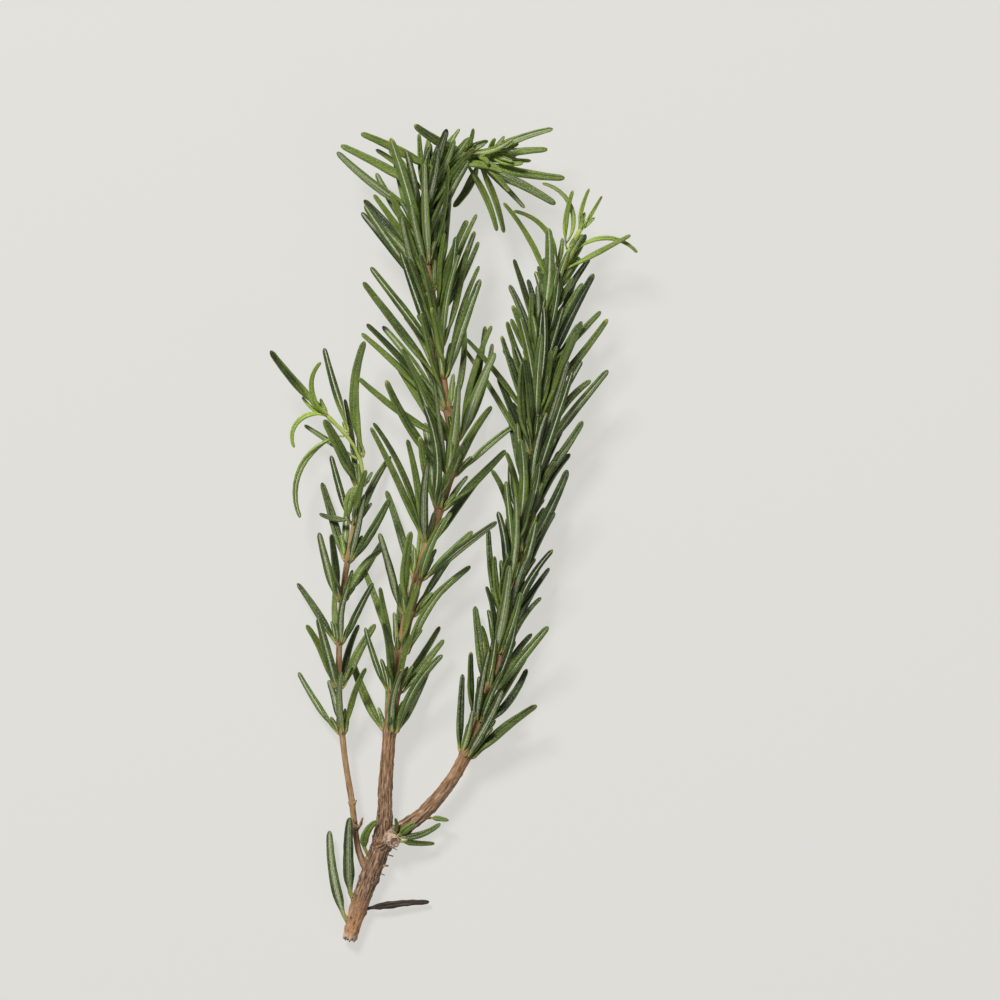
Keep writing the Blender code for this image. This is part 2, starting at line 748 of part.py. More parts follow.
def ring_shape(whorl):
    """The ring round the stem that a whorl's leaf bases grow from, or the bud at a tip."""
    direction = whorl["direction"]
    side = direction.cross(Vector((0.0, 0.0, 1.0))).normalized()
    above = side.cross(direction)
    half = 0.5 * whorl["ring"]
    inner, outer = whorl["inner"], whorl["inner"] + RING_WALL
    outline = ((-half, inner), (-half, outer), (half, outer), (half, inner))
    if whorl["is_bud"]:
        outline = BUD_OUTLINE
    points = []
    for i in range(RING_SIDES):
        turn = 2 * math.pi * i / RING_SIDES
        outward = side * math.cos(turn) + above * math.sin(turn)
        points += [whorl["centre"] + direction * a + outward * r for a, r in outline]
    count = len(outline)
    faces = []
    for i in range(RING_SIDES):
        here, there = i * count, ((i + 1) % RING_SIDES) * count
        for k in range(count - 1 if whorl["is_bud"] else count):
            after = (k + 1) % count
            faces.append((here + k, there + k, there + after, here + after))
    if whorl["is_bud"]:
        faces.append(tuple(reversed([i * count for i in range(RING_SIDES)])))
        faces.append(tuple(i * count + count - 1 for i in range(RING_SIDES)))
    return points, faces


def grow_leaves(shoots):
    """Place every leaf: the aimed ones first, and then the ones that fill the whorls."""
    chance = random.Random(SEED)
    crowd = Crowd()
    for name, shoot in shoots.items():
        points, faces = tube_shape(shoot)
        crowd.add(f"stem_{name}", points, faces)
        for whorl in shoot["whorls_made"]:
            crowd.add(whorl["name"], *ring_shape(whorl))
    lone = lone_leaves(crowd)

    def place(whorl, maker, argument, edges):
        """Try a leaf in a whorl until it fits; whether it was placed."""
        for attempt in range(TRIES):
            leaf = maker(whorl, argument, attempt, chance)
            if edges and not lies_within_edges(leaf, edges, chance.uniform(0.0, EDGE_SOFTNESS)):
                continue
            if lies_clear_of_floor(leaf) and not crowd.blocks(whorl["name"], leaf):
                crowd.add(whorl["name"], *leaf_shape(leaf, FULL_SECTION))
                whorl["leaves"].append(leaf)
                return True
        return False

    for name, shoot in shoots.items():
        for aim in AIMS[name]:
            for whorl in likely_whorls(aim, shoot["whorls_made"]):
                if place(whorl, aimed_leaf, aim, None):
                    break
    for name, shoot in shoots.items():
        for whorl in shoot["whorls_made"]:
            for slot in whorl_slots(whorl, chance):
                if len(whorl["leaves"]) < whorl["wanted"]:
                    place(whorl, filling_leaf, slot, shoot["edges"])
    return lone


def lone_leaves(crowd):
    """The leaves that stand alone on the bare wood."""
    made = {}
    for name, lone in LONE_LEAVES.items():
        start = Vector(lone.start)
        chord = Vector(lone.tip) - start
        curl = Vector((-chord.y, chord.x, 0.0)).normalized() * LONE_BEND
        curl.z -= bow_turn(lone.bow, chord)
        line = leaf_line(start, chord, curl, 0.5 * lone.width * ASPECT + FLOOR_GAP)
        up = Vector((0.0, 0.0, 1.0 if lone.face_up else -1.0))
        leaf = {"line": line, "normals": [up] * len(line), "width": lone.width, "youth": 0.0}
        crowd.add(name, *leaf_shape(leaf, FULL_SECTION))
        made[name] = leaf
    return made


# Solids.


def tube_shape(shoot):
    """A stem's points and faces, for keeping leaves clear of it."""
    route = shoot["curve"]
    count = max(2, round(route.length / STEM_STEP))
    points = []
    faces = []
    for i in range(count + 1):
        distance = route.length * i / count
        centre, direction = route.at(distance)
        side = direction.cross(Vector((0.0, 0.0, 1.0))).normalized()
        above = side.cross(direction)
        radius = stem_radius(shoot, distance)
        for k in range(STEM_SIDES):
            turn = 2 * math.pi * k / STEM_SIDES
            points.append(centre + (side * math.cos(turn) + above * math.sin(turn)) * radius)
    for i in range(count):
        for k in range(STEM_SIDES):
            near, far = i * STEM_SIDES + k, i * STEM_SIDES + (k + 1) % STEM_SIDES
            faces.append((near, far, far + STEM_SIDES, near + STEM_SIDES))
    return points, faces


def add_object(name, mesh, finish, home):
    made = bpy.data.objects.new(name, mesh)
    home.objects.link(made)
    made.data.materials.clear()
    made.data.materials.append(finish)
    return made


def mesh_from(name, points, faces):
    """A mesh in metres from a shape in this file's millimetres, with its faces outward."""
    mesh = bpy.data.meshes.new(name)
    mesh.from_pydata([(point - CENTRE) * METRES for point in points], [], faces)
    shape = bmesh.new()
    shape.from_mesh(mesh)
    bmesh.ops.recalc_face_normals(shape, faces=shape.faces)
    bmesh.ops.triangulate(shape, faces=shape.faces)
    shape.to_mesh(mesh)
    shape.free()
    return mesh


def united(name, meshes, finish, home):
    """One object from meshes that overlap."""
    whole = add_object(name, meshes[0], finish, home)
    others = [add_object(f"{name}_piece", mesh, finish, home) for mesh in meshes[1:]]
    for other in others:
        join = whole.modifiers.new("join", "BOOLEAN")
        join.operation = "UNION"
        join.object = other
    for solver in ("EXACT", "MANIFOLD"):
        for join in whole.modifiers:
            join.solver = solver
        bpy.context.view_layer.update()
        evaluated = whole.evaluated_get(bpy.context.evaluated_depsgraph_get())
        mesh = bpy.data.meshes.new_from_object(evaluated)
        if is_one_body(mesh):
            break
    whole.modifiers.clear()
    whole.data = mesh
    mesh.name = name
    for other in others:
        bpy.data.objects.remove(other, do_unlink=True)
    return whole


def is_one_body(mesh):
    """Whether every vertex can be reached from the first along edges, and every edge is closed."""
    shape = bmesh.new()
    shape.from_mesh(mesh)
    waiting = [shape.verts[:][0]]
    reached = set(waiting)
    while waiting:
        for edge in waiting.pop().link_edges:
            for vertex in edge.verts:
                if vertex not in reached:
                    reached.add(vertex)
                    waiting.append(vertex)
    whole = len(reached) == len(shape.verts) and all(edge.is_manifold for edge in shape.edges)
    shape.free()
    return whole


def stem_mesh(name, shoot, home):
    """A stem as a bevelled curve, made a mesh."""
    route = shoot["curve"]
    count = max(2, round(route.length / STEM_STEP))
    curve = bpy.data.curves.new(name, "CURVE")
    curve.dimensions = "3D"
    curve.bevel_depth = METRES
    curve.bevel_resolution = 2
    curve.use_fill_caps = True
    spline = curve.splines.new("POLY")
    spline.points.add(count)
    for i, point in enumerate(spline.points):
        distance = route.length * i / count
        centre, _ = route.at(distance)
        point.co = (*((centre - CENTRE) * METRES), 1.0)
        point.radius = stem_radius(shoot, distance)
    tube = bpy.data.objects.new(name, curve)
    home.objects.link(tube)
    bpy.context.view_layer.update()
    evaluated = tube.evaluated_get(bpy.context.evaluated_depsgraph_get())
    mesh = bpy.data.meshes.new_from_object(evaluated)
    bpy.data.objects.remove(tube, do_unlink=True)
    return welded(mesh)


def welded(mesh):
    shape = bmesh.new()
    shape.from_mesh(mesh)
    bmesh.ops.remove_doubles(shape, verts=shape.verts, dist=WELD_DISTANCE)
    bmesh.ops.recalc_face_normals(shape, faces=shape.faces)
    shape.to_mesh(mesh)
    shape.free()
    return mesh


def build_stem(shoots, finish, home):
    meshes = [stem_mesh(f"stem_{name}", shoot, home) for name, shoot in shoots.items()]
    return united("stem", meshes, finish, home)


def build_whorl(whorl, finish, home):
    shapes = [ring_shape(whorl)] + [leaf_shape(leaf) for leaf in whorl["leaves"]]
    meshes = [mesh_from(whorl["name"], points, faces) for points, faces in shapes]
    return united(whorl["name"], meshes, finish, home)


def main():
    clear_scene()
    home = bpy.data.collections.new("rosemary_sprig")
    bpy.context.scene.collection.children.link(home)
    finishes = {name: material(name) for name in COLOURS}

    shoots = {name: dict(shoot) for name, shoot in SHOOTS.items()}
    for name, shoot in shoots.items():
        shoot["curve"] = Route(shoot["route"])
        shoot["whorls_made"] = whorls_of(name, shoot)
    lone = grow_leaves(shoots)

    build_stem(shoots, finishes["bark"], home)
    for shoot in shoots.values():
        for whorl in shoot["whorls_made"]:
            name = "young_leaf" if whorl["youth"] > YOUNG_FROM else "leaf"
            build_whorl(whorl, finishes[name], home)
    for name, leaf in lone.items():
        finish = finishes["dried_leaf" if name == "dried_leaf" else "leaf"]
        add_object(name, mesh_from(name, *leaf_shape(leaf)), finish, home)
    return shoots


main()
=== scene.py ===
"""The looks of a cut rosemary sprig that lies on a pale surface.

The sprig grows here by the same rules and numbers as its CAD model, so each detailed leaf lies
where its plain solid is.  Each whorl of plain leaf solids is replaced by leaves with rolled
margins, a grooved upper face and a felted underside, and the plain stem by one with bark and
swollen nodes.  Lengths are millimetres until a mesh is made, in metres.
"""

import math
import random
from dataclasses import dataclass, replace
from typing import NamedTuple

import bmesh
import bpy
from mathutils import Color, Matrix, Quaternion, Vector, noise
from mathutils.bvhtree import BVHTree
from mathutils.kdtree import KDTree


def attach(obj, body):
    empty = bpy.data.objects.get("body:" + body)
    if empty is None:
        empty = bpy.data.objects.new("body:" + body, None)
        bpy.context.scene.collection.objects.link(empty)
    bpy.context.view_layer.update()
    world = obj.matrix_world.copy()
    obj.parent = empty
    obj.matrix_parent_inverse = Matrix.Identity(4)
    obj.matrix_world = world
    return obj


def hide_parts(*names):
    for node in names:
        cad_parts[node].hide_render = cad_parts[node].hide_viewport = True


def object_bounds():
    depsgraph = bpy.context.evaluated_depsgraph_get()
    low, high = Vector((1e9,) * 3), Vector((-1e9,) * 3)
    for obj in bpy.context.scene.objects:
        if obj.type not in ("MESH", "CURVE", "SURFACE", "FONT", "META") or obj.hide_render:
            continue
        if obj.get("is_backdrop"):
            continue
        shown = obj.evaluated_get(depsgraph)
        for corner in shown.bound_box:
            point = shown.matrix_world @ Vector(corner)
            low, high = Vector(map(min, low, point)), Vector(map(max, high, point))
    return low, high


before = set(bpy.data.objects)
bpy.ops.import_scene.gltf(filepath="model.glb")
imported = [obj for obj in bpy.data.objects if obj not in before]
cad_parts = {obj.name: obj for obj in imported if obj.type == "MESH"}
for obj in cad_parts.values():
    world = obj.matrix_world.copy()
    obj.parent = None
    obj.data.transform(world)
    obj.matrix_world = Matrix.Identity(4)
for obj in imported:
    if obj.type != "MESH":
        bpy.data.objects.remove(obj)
cad_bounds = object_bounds()

METRES = 0.001
SEED = 2
CENTRE = Vector((0.0, -0.39, 0.0))  # the middle of the sprig's box, in the coordinates used below
SKYWARD = Vector((0.0, 0.0, 1.0))

# Gaps that keep neighbouring solids apart.
STEM_GAP = 0.3
LEAF_GAP = 0.12
FLOOR_GAP = 0.04

STEM_STEP = 3.0
STEM_SIDES = 8

# The ring that joins the leaf bases of one whorl, and the bud at a shoot's tip: the bud's outline
# is (place along the stem, radius).
RING_WALL = 0.55
RING_SIDES = 8
BUD_OUTLINE = ((-0.6, 0.34), (-0.15, 0.6), (0.5, 0.47), (1.1, 0.23))
BUD_LENGTH = 0.75
BUD_LEAF_REACH = 0.3  # how far from a bud's axis its leaves start

# A leaf's centre line is held at LINE_STEPS + 1 points.  Its solid has rings at some of them: each
# is the point's number, and the shares of the leaf's width and of its thickness there.
LINE_STEPS = 12
STRAIGHT = 1e-4  # an arc that turns by less than twice this, in radians, is taken as straight
LEAF_RINGS = ((0, 0.45, 0.5), (3, 0.95, 1.0), (8, 1.0, 0.95), (11, 0.66, 0.7))
SECTION = ((1.0, 0.0), (0.55, 1.0), (-0.55, 1.0), (-1.0, 0.0), (-0.55, -1.0), (0.55, -1.0))
ASPECT = 0.52  # a leaf's thickness against its width
LEAF_WIDTH = 1.05  # a filling leaf's width, to which each millimetre of its length adds a share
LEAF_WIDENING = 0.055
WIDEST_LEAF = 2.25
FACE_TWIST = 0.85  # how far a leaf turns its face to the light by its middle

# How many placings a leaf tries before it is left out, and how far the last ones stray.
TRIES = 36
TIP_STRAY = 1.0
RISE_STRAY = 5.0
TURN_STRAY = 34.0
ANGLE_STRAY = 7.0
SHORTENING = 0.25

# How leaves vary in any case: lengths are millimetres, and angles are degrees.
TURN_SPREAD = 8.0
ANGLE_SPREAD = 4.0
PLACE_SPREAD = 6.0
TWIST_SPREAD = 24.0
BOW_SPREAD = 0.8
BENDS = (-8.0, 26.0)
BOWED_BENDS = 0.4  # how much of its bend a bowed leaf keeps
LENGTH_SHARES = (0.86, 1.08)
WIDTH_SHARES = (0.74, 1.06)
EDGE_SOFTNESS = 7.0
LOWEST_TIP = 0.8

# Leaves above the stem lie closer along it, by this many degrees, and show their undersides more.
RISING_PULL = 12.0
RISING_FROM = 0.45
UPPER_FACE_SHARES = (0.7, 0.35)

FIRST_TURN = 28.0  # how far the first pair is turned round its stem; each next pair turns by 90
GROWING_LENGTH = 16.0  # leaves are shorter along this much of a shoot's end
GROWING_LEAD = 1.0  # and would be at their shortest this far past its tip

# An aimed leaf grows from a whorl that it would leave at about this angle, at about a whorl's full
# length: how far each may be off for the same cost, and the cost of each leaf there past a pair.
AIM_ANGLE = 36.0
AIM_ANGLE_SLACK = 9.0
AIM_LENGTH_SLACK = 3.0
AIM_CROWDING = 1.5
AIM_CHOICES = 4
PAIR = 2

# The places in one half of a whorl, which its other half mirrors: a large leaf, and then smaller
# ones in its axil.  Each is its turn round the stem, its angle to the stem, and its share of the
# full length.
PLACES = (
    (0, 38, 1.0),
    (48, 31, 0.84),
    (-48, 30, 0.78),
    (92, 24, 0.68),
    (24, 22, 0.6),
    (-24, 20, 0.5),
)

# Stems.

YOUNG_SLIMNESS = 0.3  # how much of its radius a stem lacks where it is youngest
LEAST_TIP_YOUTH = 0.5  # how young every stem is at its tip at least
STEM_FADE = (0.6, 2.4)  # where it stops looking young, in lengths of its shoot's pale end
COLLAR = 0.45  # how much thicker a stem is where it leaves its parent
COLLAR_LENGTH = 2.5
TRACE_STEP = 0.25  # how close together the frames are that tell where on a stem a point is


def mixed(first, last, share):
    return first + (last - first) * share


def smoothstep(low, high, value):
    share = min(max((value - low) / (high - low), 0.0), 1.0)
    return share * share * (3.0 - 2.0 * share)


def read_along(pairs, place):
    """The value at a place, between (place, value) pairs in order."""
    for (near, first), (far, last) in zip(pairs, pairs[1:]):
        if place <= far:
            return mixed(first, last, (place - near) / (far - near))
    return pairs[-1][1]


def spline(before, start, end, after, share):
    """A point between start and end, on a smooth curve through all four."""
    return 0.5 * (
        2 * start
        + (end - before) * share
        + (2 * before - 5 * start + 4 * end - after) * share**2
        + (3 * start - before - 3 * end + after) * share**3
    )


def squared(vector, axis):
    """The unit vector square to an axis that is nearest to a vector."""
    return (vector - axis * vector.dot(axis)).normalized()


def axes_across(direction):
    """The level axis across a stem's direction, and the one that rises."""
    side = direction.cross(SKYWARD).normalized()
    return side, side.cross(direction)


def outward_at(direction, turn):
    """The way out of a stem at a turn round it, which starts from the level axis."""
    side, above = axes_across(direction)
    return side * math.cos(turn) + above * math.sin(turn)


class Route:
    """A smooth curve through a stem's points, read by distance from its cut end."""

    SAMPLES = 10

    def __init__(self, points):
        corners = [Vector(point) for point in points]
        padded = [2 * corners[0] - corners[1], *corners, 2 * corners[-1] - corners[-2]]
        self.points = []
        for span in zip(padded, padded[1:], padded[2:], padded[3:]):
            self.points += [spline(*span, i / self.SAMPLES) for i in range(self.SAMPLES)]
        self.points.append(corners[-1])
        self.distances = [0.0]
        for start, end in zip(self.points, self.points[1:]):
            self.distances.append(self.distances[-1] + (end - start).length)
        self.length = self.distances[-1]

    def at(self, distance):
        """The point and the unit direction at a distance from the cut end."""
        distance = min(max(distance, 0.0), self.length)
        index = next(i for i, reached in enumerate(self.distances[1:]) if reached >= distance)
        start, end = self.points[index], self.points[index + 1]
        share = (distance - self.distances[index]) / (end - start).length
        return start.lerp(end, share), (end - start).normalized()


class SmallLeaves(NamedTuple):
    """Young leaves in a whorl's axils or in a bud: how many there are, their angles to the stem,
    and their lengths as shares of their whorl's full length."""

    count: int
    angles: tuple
    lengths: tuple


@dataclass
class Shoot:
    """A stem and how its leaves grow.  Distances are from its cut end, and shares are of the way
    from its first whorl to its last."""

    name: str
    route: tuple  # points on its centre line
    radii: tuple  # (distance, radius)
    first: float  # where its first whorl is
    whorl_count: int
    tightening: float  # how much closer its whorls get towards its tip
    leaf_counts: tuple  # (share, leaves in a whorl)
    lengths: tuple  # a leaf's full length in the first whorl and in the last
    tip_length: float  # a leaf's length at the tip, where leaves still grow
    young: tuple  # how long the pale young end is, and how pale its tip is
    spread: float  # how widely the leaves spread
    edges: tuple  # how far they reach: the least and greatest x, and the greatest y
    # A darker range is painted shade, as on the right shoot.
    tones: tuple  # how light they are: the darkest and the lightest
    rough_bark: tuple  # where the bark is at its roughest, and where it has become smooth
    aims: tuple
    axil_leaves: SmallLeaves
    bud_leaves: SmallLeaves | None
    ring: float = 1.5  # how long the ring under a whorl is

    def __post_init__(self):
        self.curve = Route(self.route)
        self.whorls = [Whorl(self, i) for i in range(self.whorl_count)]
        count = int(self.curve.length / TRACE_STEP) + 1
        self.frames = [self.curve.at(i * TRACE_STEP) for i in range(count)]
        self.trace = KDTree(count)
        for i, (centre, _) in enumerate(self.frames):
            self.trace.insert(centre, i)
        self.trace.balance()

    def radius_at(self, distance):
        return read_along(self.radii, distance)

    def youth_at(self, distance):
        """How young and green the stem is, from 0 to 1."""
        pale_length, palest = self.young
        start, end = (pale_length * share for share in STEM_FADE)
        old = smoothstep(start, end, self.curve.length - distance)
        return max(palest, LEAST_TIP_YOUTH) * (1.0 - old)

    def detailed_radius(self, distance):
        """The radius under the bark: thick where the stem leaves its parent, slim when young."""
        radius = self.radius_at(distance) * (1.0 - YOUNG_SLIMNESS * self.youth_at(distance))
        if self.name != "main":
            radius *= 1.0 + COLLAR * math.exp(-((distance / COLLAR_LENGTH) ** 2))
        return radius

    def nearest_frame(self, point):
        """How far a point is from the centre line, in radii, and the number of the frame there."""
        _, index, away = self.trace.find(point)
        return away / self.detailed_radius(index * TRACE_STEP), index


class Whorl:
    """The leaves that grow from one place on a stem, or the bud at its tip.  Whorls crowd
    together towards the tip, and their leaves get shorter and paler."""

    def __init__(self, shoot, index):
        last = shoot.whorl_count - 1
        share = index / max(last, 1)
        along = 1.0 - (1.0 - share) ** shoot.tightening
        self.distance = mixed(shoot.first, shoot.curve.length, along)
        left = shoot.curve.length - self.distance
        self.node = f"leaves_{shoot.name}_{index + 1:02d}"
        self.is_bud = shoot.bud_leaves is not None and index == last
        self.centre, self.direction = shoot.curve.at(self.distance)
        if self.is_bud:
            self.centre = self.centre + self.direction * (STEM_GAP + BUD_LENGTH)
        self.inner = shoot.radius_at(self.distance) + STEM_GAP
        self.leaf_start = BUD_LEAF_REACH if self.is_bud else self.inner + 0.5 * RING_WALL
        self.turn = FIRST_TURN + 90.0 * index
        self.ring = shoot.ring
        self.spread = shoot.spread
        self.wanted = round(read_along(shoot.leaf_counts, share))
        grown = min(1.0, (left + GROWING_LEAD) / GROWING_LENGTH)
        self.length = mixed(shoot.tip_length, mixed(*shoot.lengths, share), grown)
        pale_length, palest = shoot.young
        self.youth = palest * max(0.0, 1.0 - left / pale_length)
        self.leaves = []


class Aim(NamedTuple):
    """A leaf that is aimed: its tip's x and y, how far the tip stands above the stem, its width,
    the whorl it grows from, counted back from the shoot's tip, how far it bows to the left of its
    heading, and whether its upper face is turned up."""

    x: float
    y: float
    rise: float
    width: float
    back: int | None = None
    bow: float = 0.0
    face_up: bool | None = None


class LoneLeaf(NamedTuple):
    """A leaf on bare wood: where it leaves the stem, its tip, its width, how far it bows to the
    left of its heading, and whether its upper face is turned up."""

    start: tuple
    tip: tuple
    width: float
    bow: float
    face_up: bool


LONE_LEAVES = {
    "base_leaf_lower": LoneLeaf((-22.5, -77.6, 2.9), (-25.4, -60.5, 2.6), 2.05, 0.7, False),
    "base_leaf_upper": LoneLeaf((-21.2, -72.9, 3.3), (-21.2, -57.6, 6.4), 2.3, 0.3, False),
    "dried_leaf": LoneLeaf((-17.3, -76.3, 2.0), (-5.1, -75.1, 1.3), 1.45, 0.3, True),
    "curled_leaf": LoneLeaf((-18.2, -64.0, 4.1), (-15.6, -58.3, 5.7), 1.7, 1.0, True),
    "far_leaf": LoneLeaf((-4.5, -57.8, 4.3), (-1.1, -58.3, 4.8), 1.1, 0.1, True),
}
LONE_BEND = math.radians(12)

# The aimed leaves, which shape each shoot's outline.

MAIN_AIMS = (
    Aim(-7.9, 82.2, 6.0, 2.1, back=2, bow=0.6, face_up=True),
    Aim(-1.2, 81.4, 6.5, 1.9, back=4, face_up=False),
    Aim(1.2, 81.6, 2.0, 1.1, back=3),
    Aim(3.9, 81.8, 1.0, 1.1, back=2),
    Aim(8.3, 79.6, 3.0, 1.15, back=0),
    Aim(20.0, 81.6, 2.0, 1.6, back=0, bow=0.8),
    Aim(18.9, 77.5, 1.0, 1.8, back=0),
    Aim(15.6, 75.5, -3.0, 1.2, back=1),
    Aim(22.4, 71.8, 0.0, 2.1, back=1),
    Aim(20.6, 66.3, 3.5, 2.2, back=2, bow=0.8, face_up=True),
    Aim(14.3, 65.8, -1.0, 1.3, back=1),
    Aim(11.3, 68.4, 7.0, 1.5, back=1),
    Aim(9.9, 60.4, 0.0, 1.5, back=1, bow=0.4),
    Aim(8.7, 61.2, -1.5, 1.5, back=2, bow=0.6),
    Aim(9.8, 72.6, 7.0, 1.6, back=3),
    Aim(6.8, 74.2, 6.0, 1.2, back=1),
    Aim(4.4, 78.4, 5.0, 0.95, back=2),
    Aim(0.1, 65.8, -2.5, 1.9, back=1, bow=0.5),
    Aim(3.0, 75.0, 7.5, 2.1, face_up=False),
    Aim(-1.2, 74.3, 5.5, 1.1),
    Aim(-6.4, 75.2, 4.5, 1.7),
    Aim(-7.1, 80.9, 0.5, 1.3),
    Aim(-4.9, 79.7, -0.5, 1.3),
    Aim(-18.9, 80.3, 3.0, 2.0, back=4, bow=-0.4, face_up=True),
    Aim(-22.9, 78.5, 0.0, 2.0, back=5, face_up=True),
    Aim(-23.6, 77.0, 3.0, 1.9, back=6, face_up=False),
    Aim(-15.8, 77.6, 1.0, 1.4, back=5),
    Aim(-12.3, 78.2, -1.5, 1.7),
    Aim(-18.7, 64.9, 2.0, 1.8),
    Aim(-18.4, 66.4, 4.0, 1.9),
    Aim(-10.5, 63.7, 6.0, 1.6),
    Aim(-10.7, 56.8, 3.0, 1.6),
    Aim(-9.0, 55.6, 5.0, 1.4),
    Aim(-6.8, 56.2, 8.0, 1.7, face_up=True),
    Aim(-0.8, 70.0, 4.5, 2.2, face_up=True),
    Aim(4.6, 64.6, 1.0, 1.3),
    Aim(2.7, 62.9, 3.0, 1.7),
    Aim(5.0, 59.1, 0.0, 1.4),
    Aim(0.4, 59.7, 7.5, 1.9, face_up=False),
    Aim(-1.8, 60.9, 3.0, 1.2),
    Aim(2.7, 57.7, 4.5, 1.4),
    Aim(5.1, 54.1, 1.5, 1.3),
    Aim(0.9, 56.0, 5.0, 1.3),
    Aim(-16.8, 53.8, 3.0, 1.9),
    Aim(-18.4, 50.9, 0.5, 1.9),
    Aim(-4.5, 45.4, 8.0, 2.1, face_up=True),
    Aim(-6.6, 44.4, 6.5, 1.6, face_up=True),
    Aim(-17.6, 42.3, 3.5, 1.6),
    Aim(-18.7, 40.5, 1.0, 1.6),
    Aim(-14.5, 42.0, -1.0, 1.8),
    Aim(-11.0, 40.9, -2.0, 1.4, bow=-1.2),
    Aim(1.9, 43.4, -2.0, 1.4, bow=-0.8),
    Aim(6.3, 42.0, -1.0, 1.5),
    Aim(7.6, 42.0, 2.0, 1.5),
    Aim(-10.4, 37.2, 7.0, 1.5, face_up=True),
    Aim(-9.3, 35.2, 4.5, 1.8, face_up=False),
    Aim(-10.7, 34.3, 2.0, 2.0),
    Aim(-3.9, 30.2, 8.0, 1.1, face_up=False),
    Aim(-5.9, 25.8, 7.5, 1.9, face_up=False),
    Aim(7.8, 38.4, 1.5, 1.5),
    Aim(8.3, 36.4, 6.0, 2.1, face_up=False),
    Aim(-19.3, 31.5, 1.0, 1.6),
    Aim(-13.7, 31.0, 3.5, 2.0),
    Aim(-16.3, 22.4, 2.5, 1.4),
    Aim(-16.9, 21.5, -1.0, 1.5),
    Aim(-9.4, 19.0, 4.0, 1.6),
    Aim(-6.8, 19.5, 6.0, 1.6),
)
RIGHT_AIMS = (
    Aim(27.3, 69.6, 2.0, 0.95, back=0),
    Aim(29.9, 68.2, 0.5, 0.95, back=0),
    Aim(24.0, 69.2, 3.0, 1.2, back=1),
    Aim(17.8, 70.6, 2.0, 1.05, back=1, bow=-3.4),
    Aim(37.0, 56.7, 1.5, 1.05, back=1, bow=2.4),
    Aim(35.6, 60.2, 3.5, 1.3, back=2),
    Aim(26.5, 60.4, -1.0, 1.6, back=2),
    Aim(12.0, 65.1, 2.0, 1.15, back=2, bow=-2.6),
    Aim(10.0, 66.9, 0.5, 1.25, back=3, bow=-0.8),
    Aim(19.0, 61.5, 6.5, 2.3, back=4, face_up=False),
    Aim(28.2, 52.4, 5.0, 2.0, face_up=False),
    Aim(12.1, 55.5, 1.0, 1.4),
    Aim(15.7, 48.7, 2.0, 1.5),
    Aim(11.8, 46.1, 3.0, 1.6),
    Aim(10.7, 42.9, 1.0, 1.5),
    Aim(9.6, 40.1, -1.0, 1.5),
    Aim(13.4, 43.4, 6.0, 1.7, face_up=False),
    Aim(18.0, 46.0, 4.0, 1.6),
    Aim(17.6, 40.1, 8.5, 1.9, face_up=False),
    Aim(19.6, 37.0, 6.0, 1.7),
    Aim(12.3, 37.7, 5.0, 1.7),
    Aim(22.9, 34.8, 7.5, 2.0, face_up=False),
    Aim(14.2, 35.6, 7.5, 1.6),
    Aim(24.2, 40.5, 5.5, 1.8),
    Aim(25.8, 42.9, 2.5, 1.8),
    Aim(29.7, 45.0, 0.5, 1.6),
    Aim(31.1, 43.4, 2.5, 1.7),
    Aim(31.1, 33.0, 4.0, 2.0, face_up=False),
    Aim(23.8, 32.5, 8.0, 1.7),
    Aim(8.9, 31.6, 1.0, 1.7),
    Aim(27.6, 31.0, 2.5, 1.8),
    Aim(2.3, 39.7, 2.5, 1.3),
    Aim(1.2, 37.6, 0.5, 1.3),
)
TWIG_AIMS = (
    Aim(-37.0, 36.9, 4.5, 1.95, back=0),
    Aim(-27.4, 34.5, 4.0, 1.2, back=0, bow=2.6),
    Aim(-30.8, 27.7, -1.0, 0.9, back=0),
    Aim(-32.3, 17.4, 0.5, 1.1, back=0, bow=-2.7),
    Aim(-30.4, 22.0, -1.5, 1.35, back=2),
    Aim(-31.1, 3.2, 1.0, 1.4, back=1, bow=-3.6),
    Aim(-26.2, 23.0, 5.0, 2.5, back=3, face_up=True),
    Aim(-26.3, 37.6, 0.5, 1.75, back=1),
    Aim(-18.0, 38.9, 3.5, 2.2, back=2, bow=1.6, face_up=True),
    Aim(-21.9, 27.0, -1.0, 1.3, back=3),
    Aim(-21.5, 3.4, 1.5, 2.2, back=3),
    Aim(-27.4, 4.0, -2.0, 1.3, back=4),
)
KNOB_AIMS = (
    Aim(-2.8, -58.9, -1.4, 1.4, back=0, bow=-0.7, face_up=True),
    Aim(-4.0, -63.1, -3.2, 1.2, back=0, face_up=True),
    Aim(-7.9, -58.7, 0.9, 1.6, back=0, face_up=True),
    Aim(-12.0, -57.7, 0.6, 0.9, back=0, face_up=True),
)

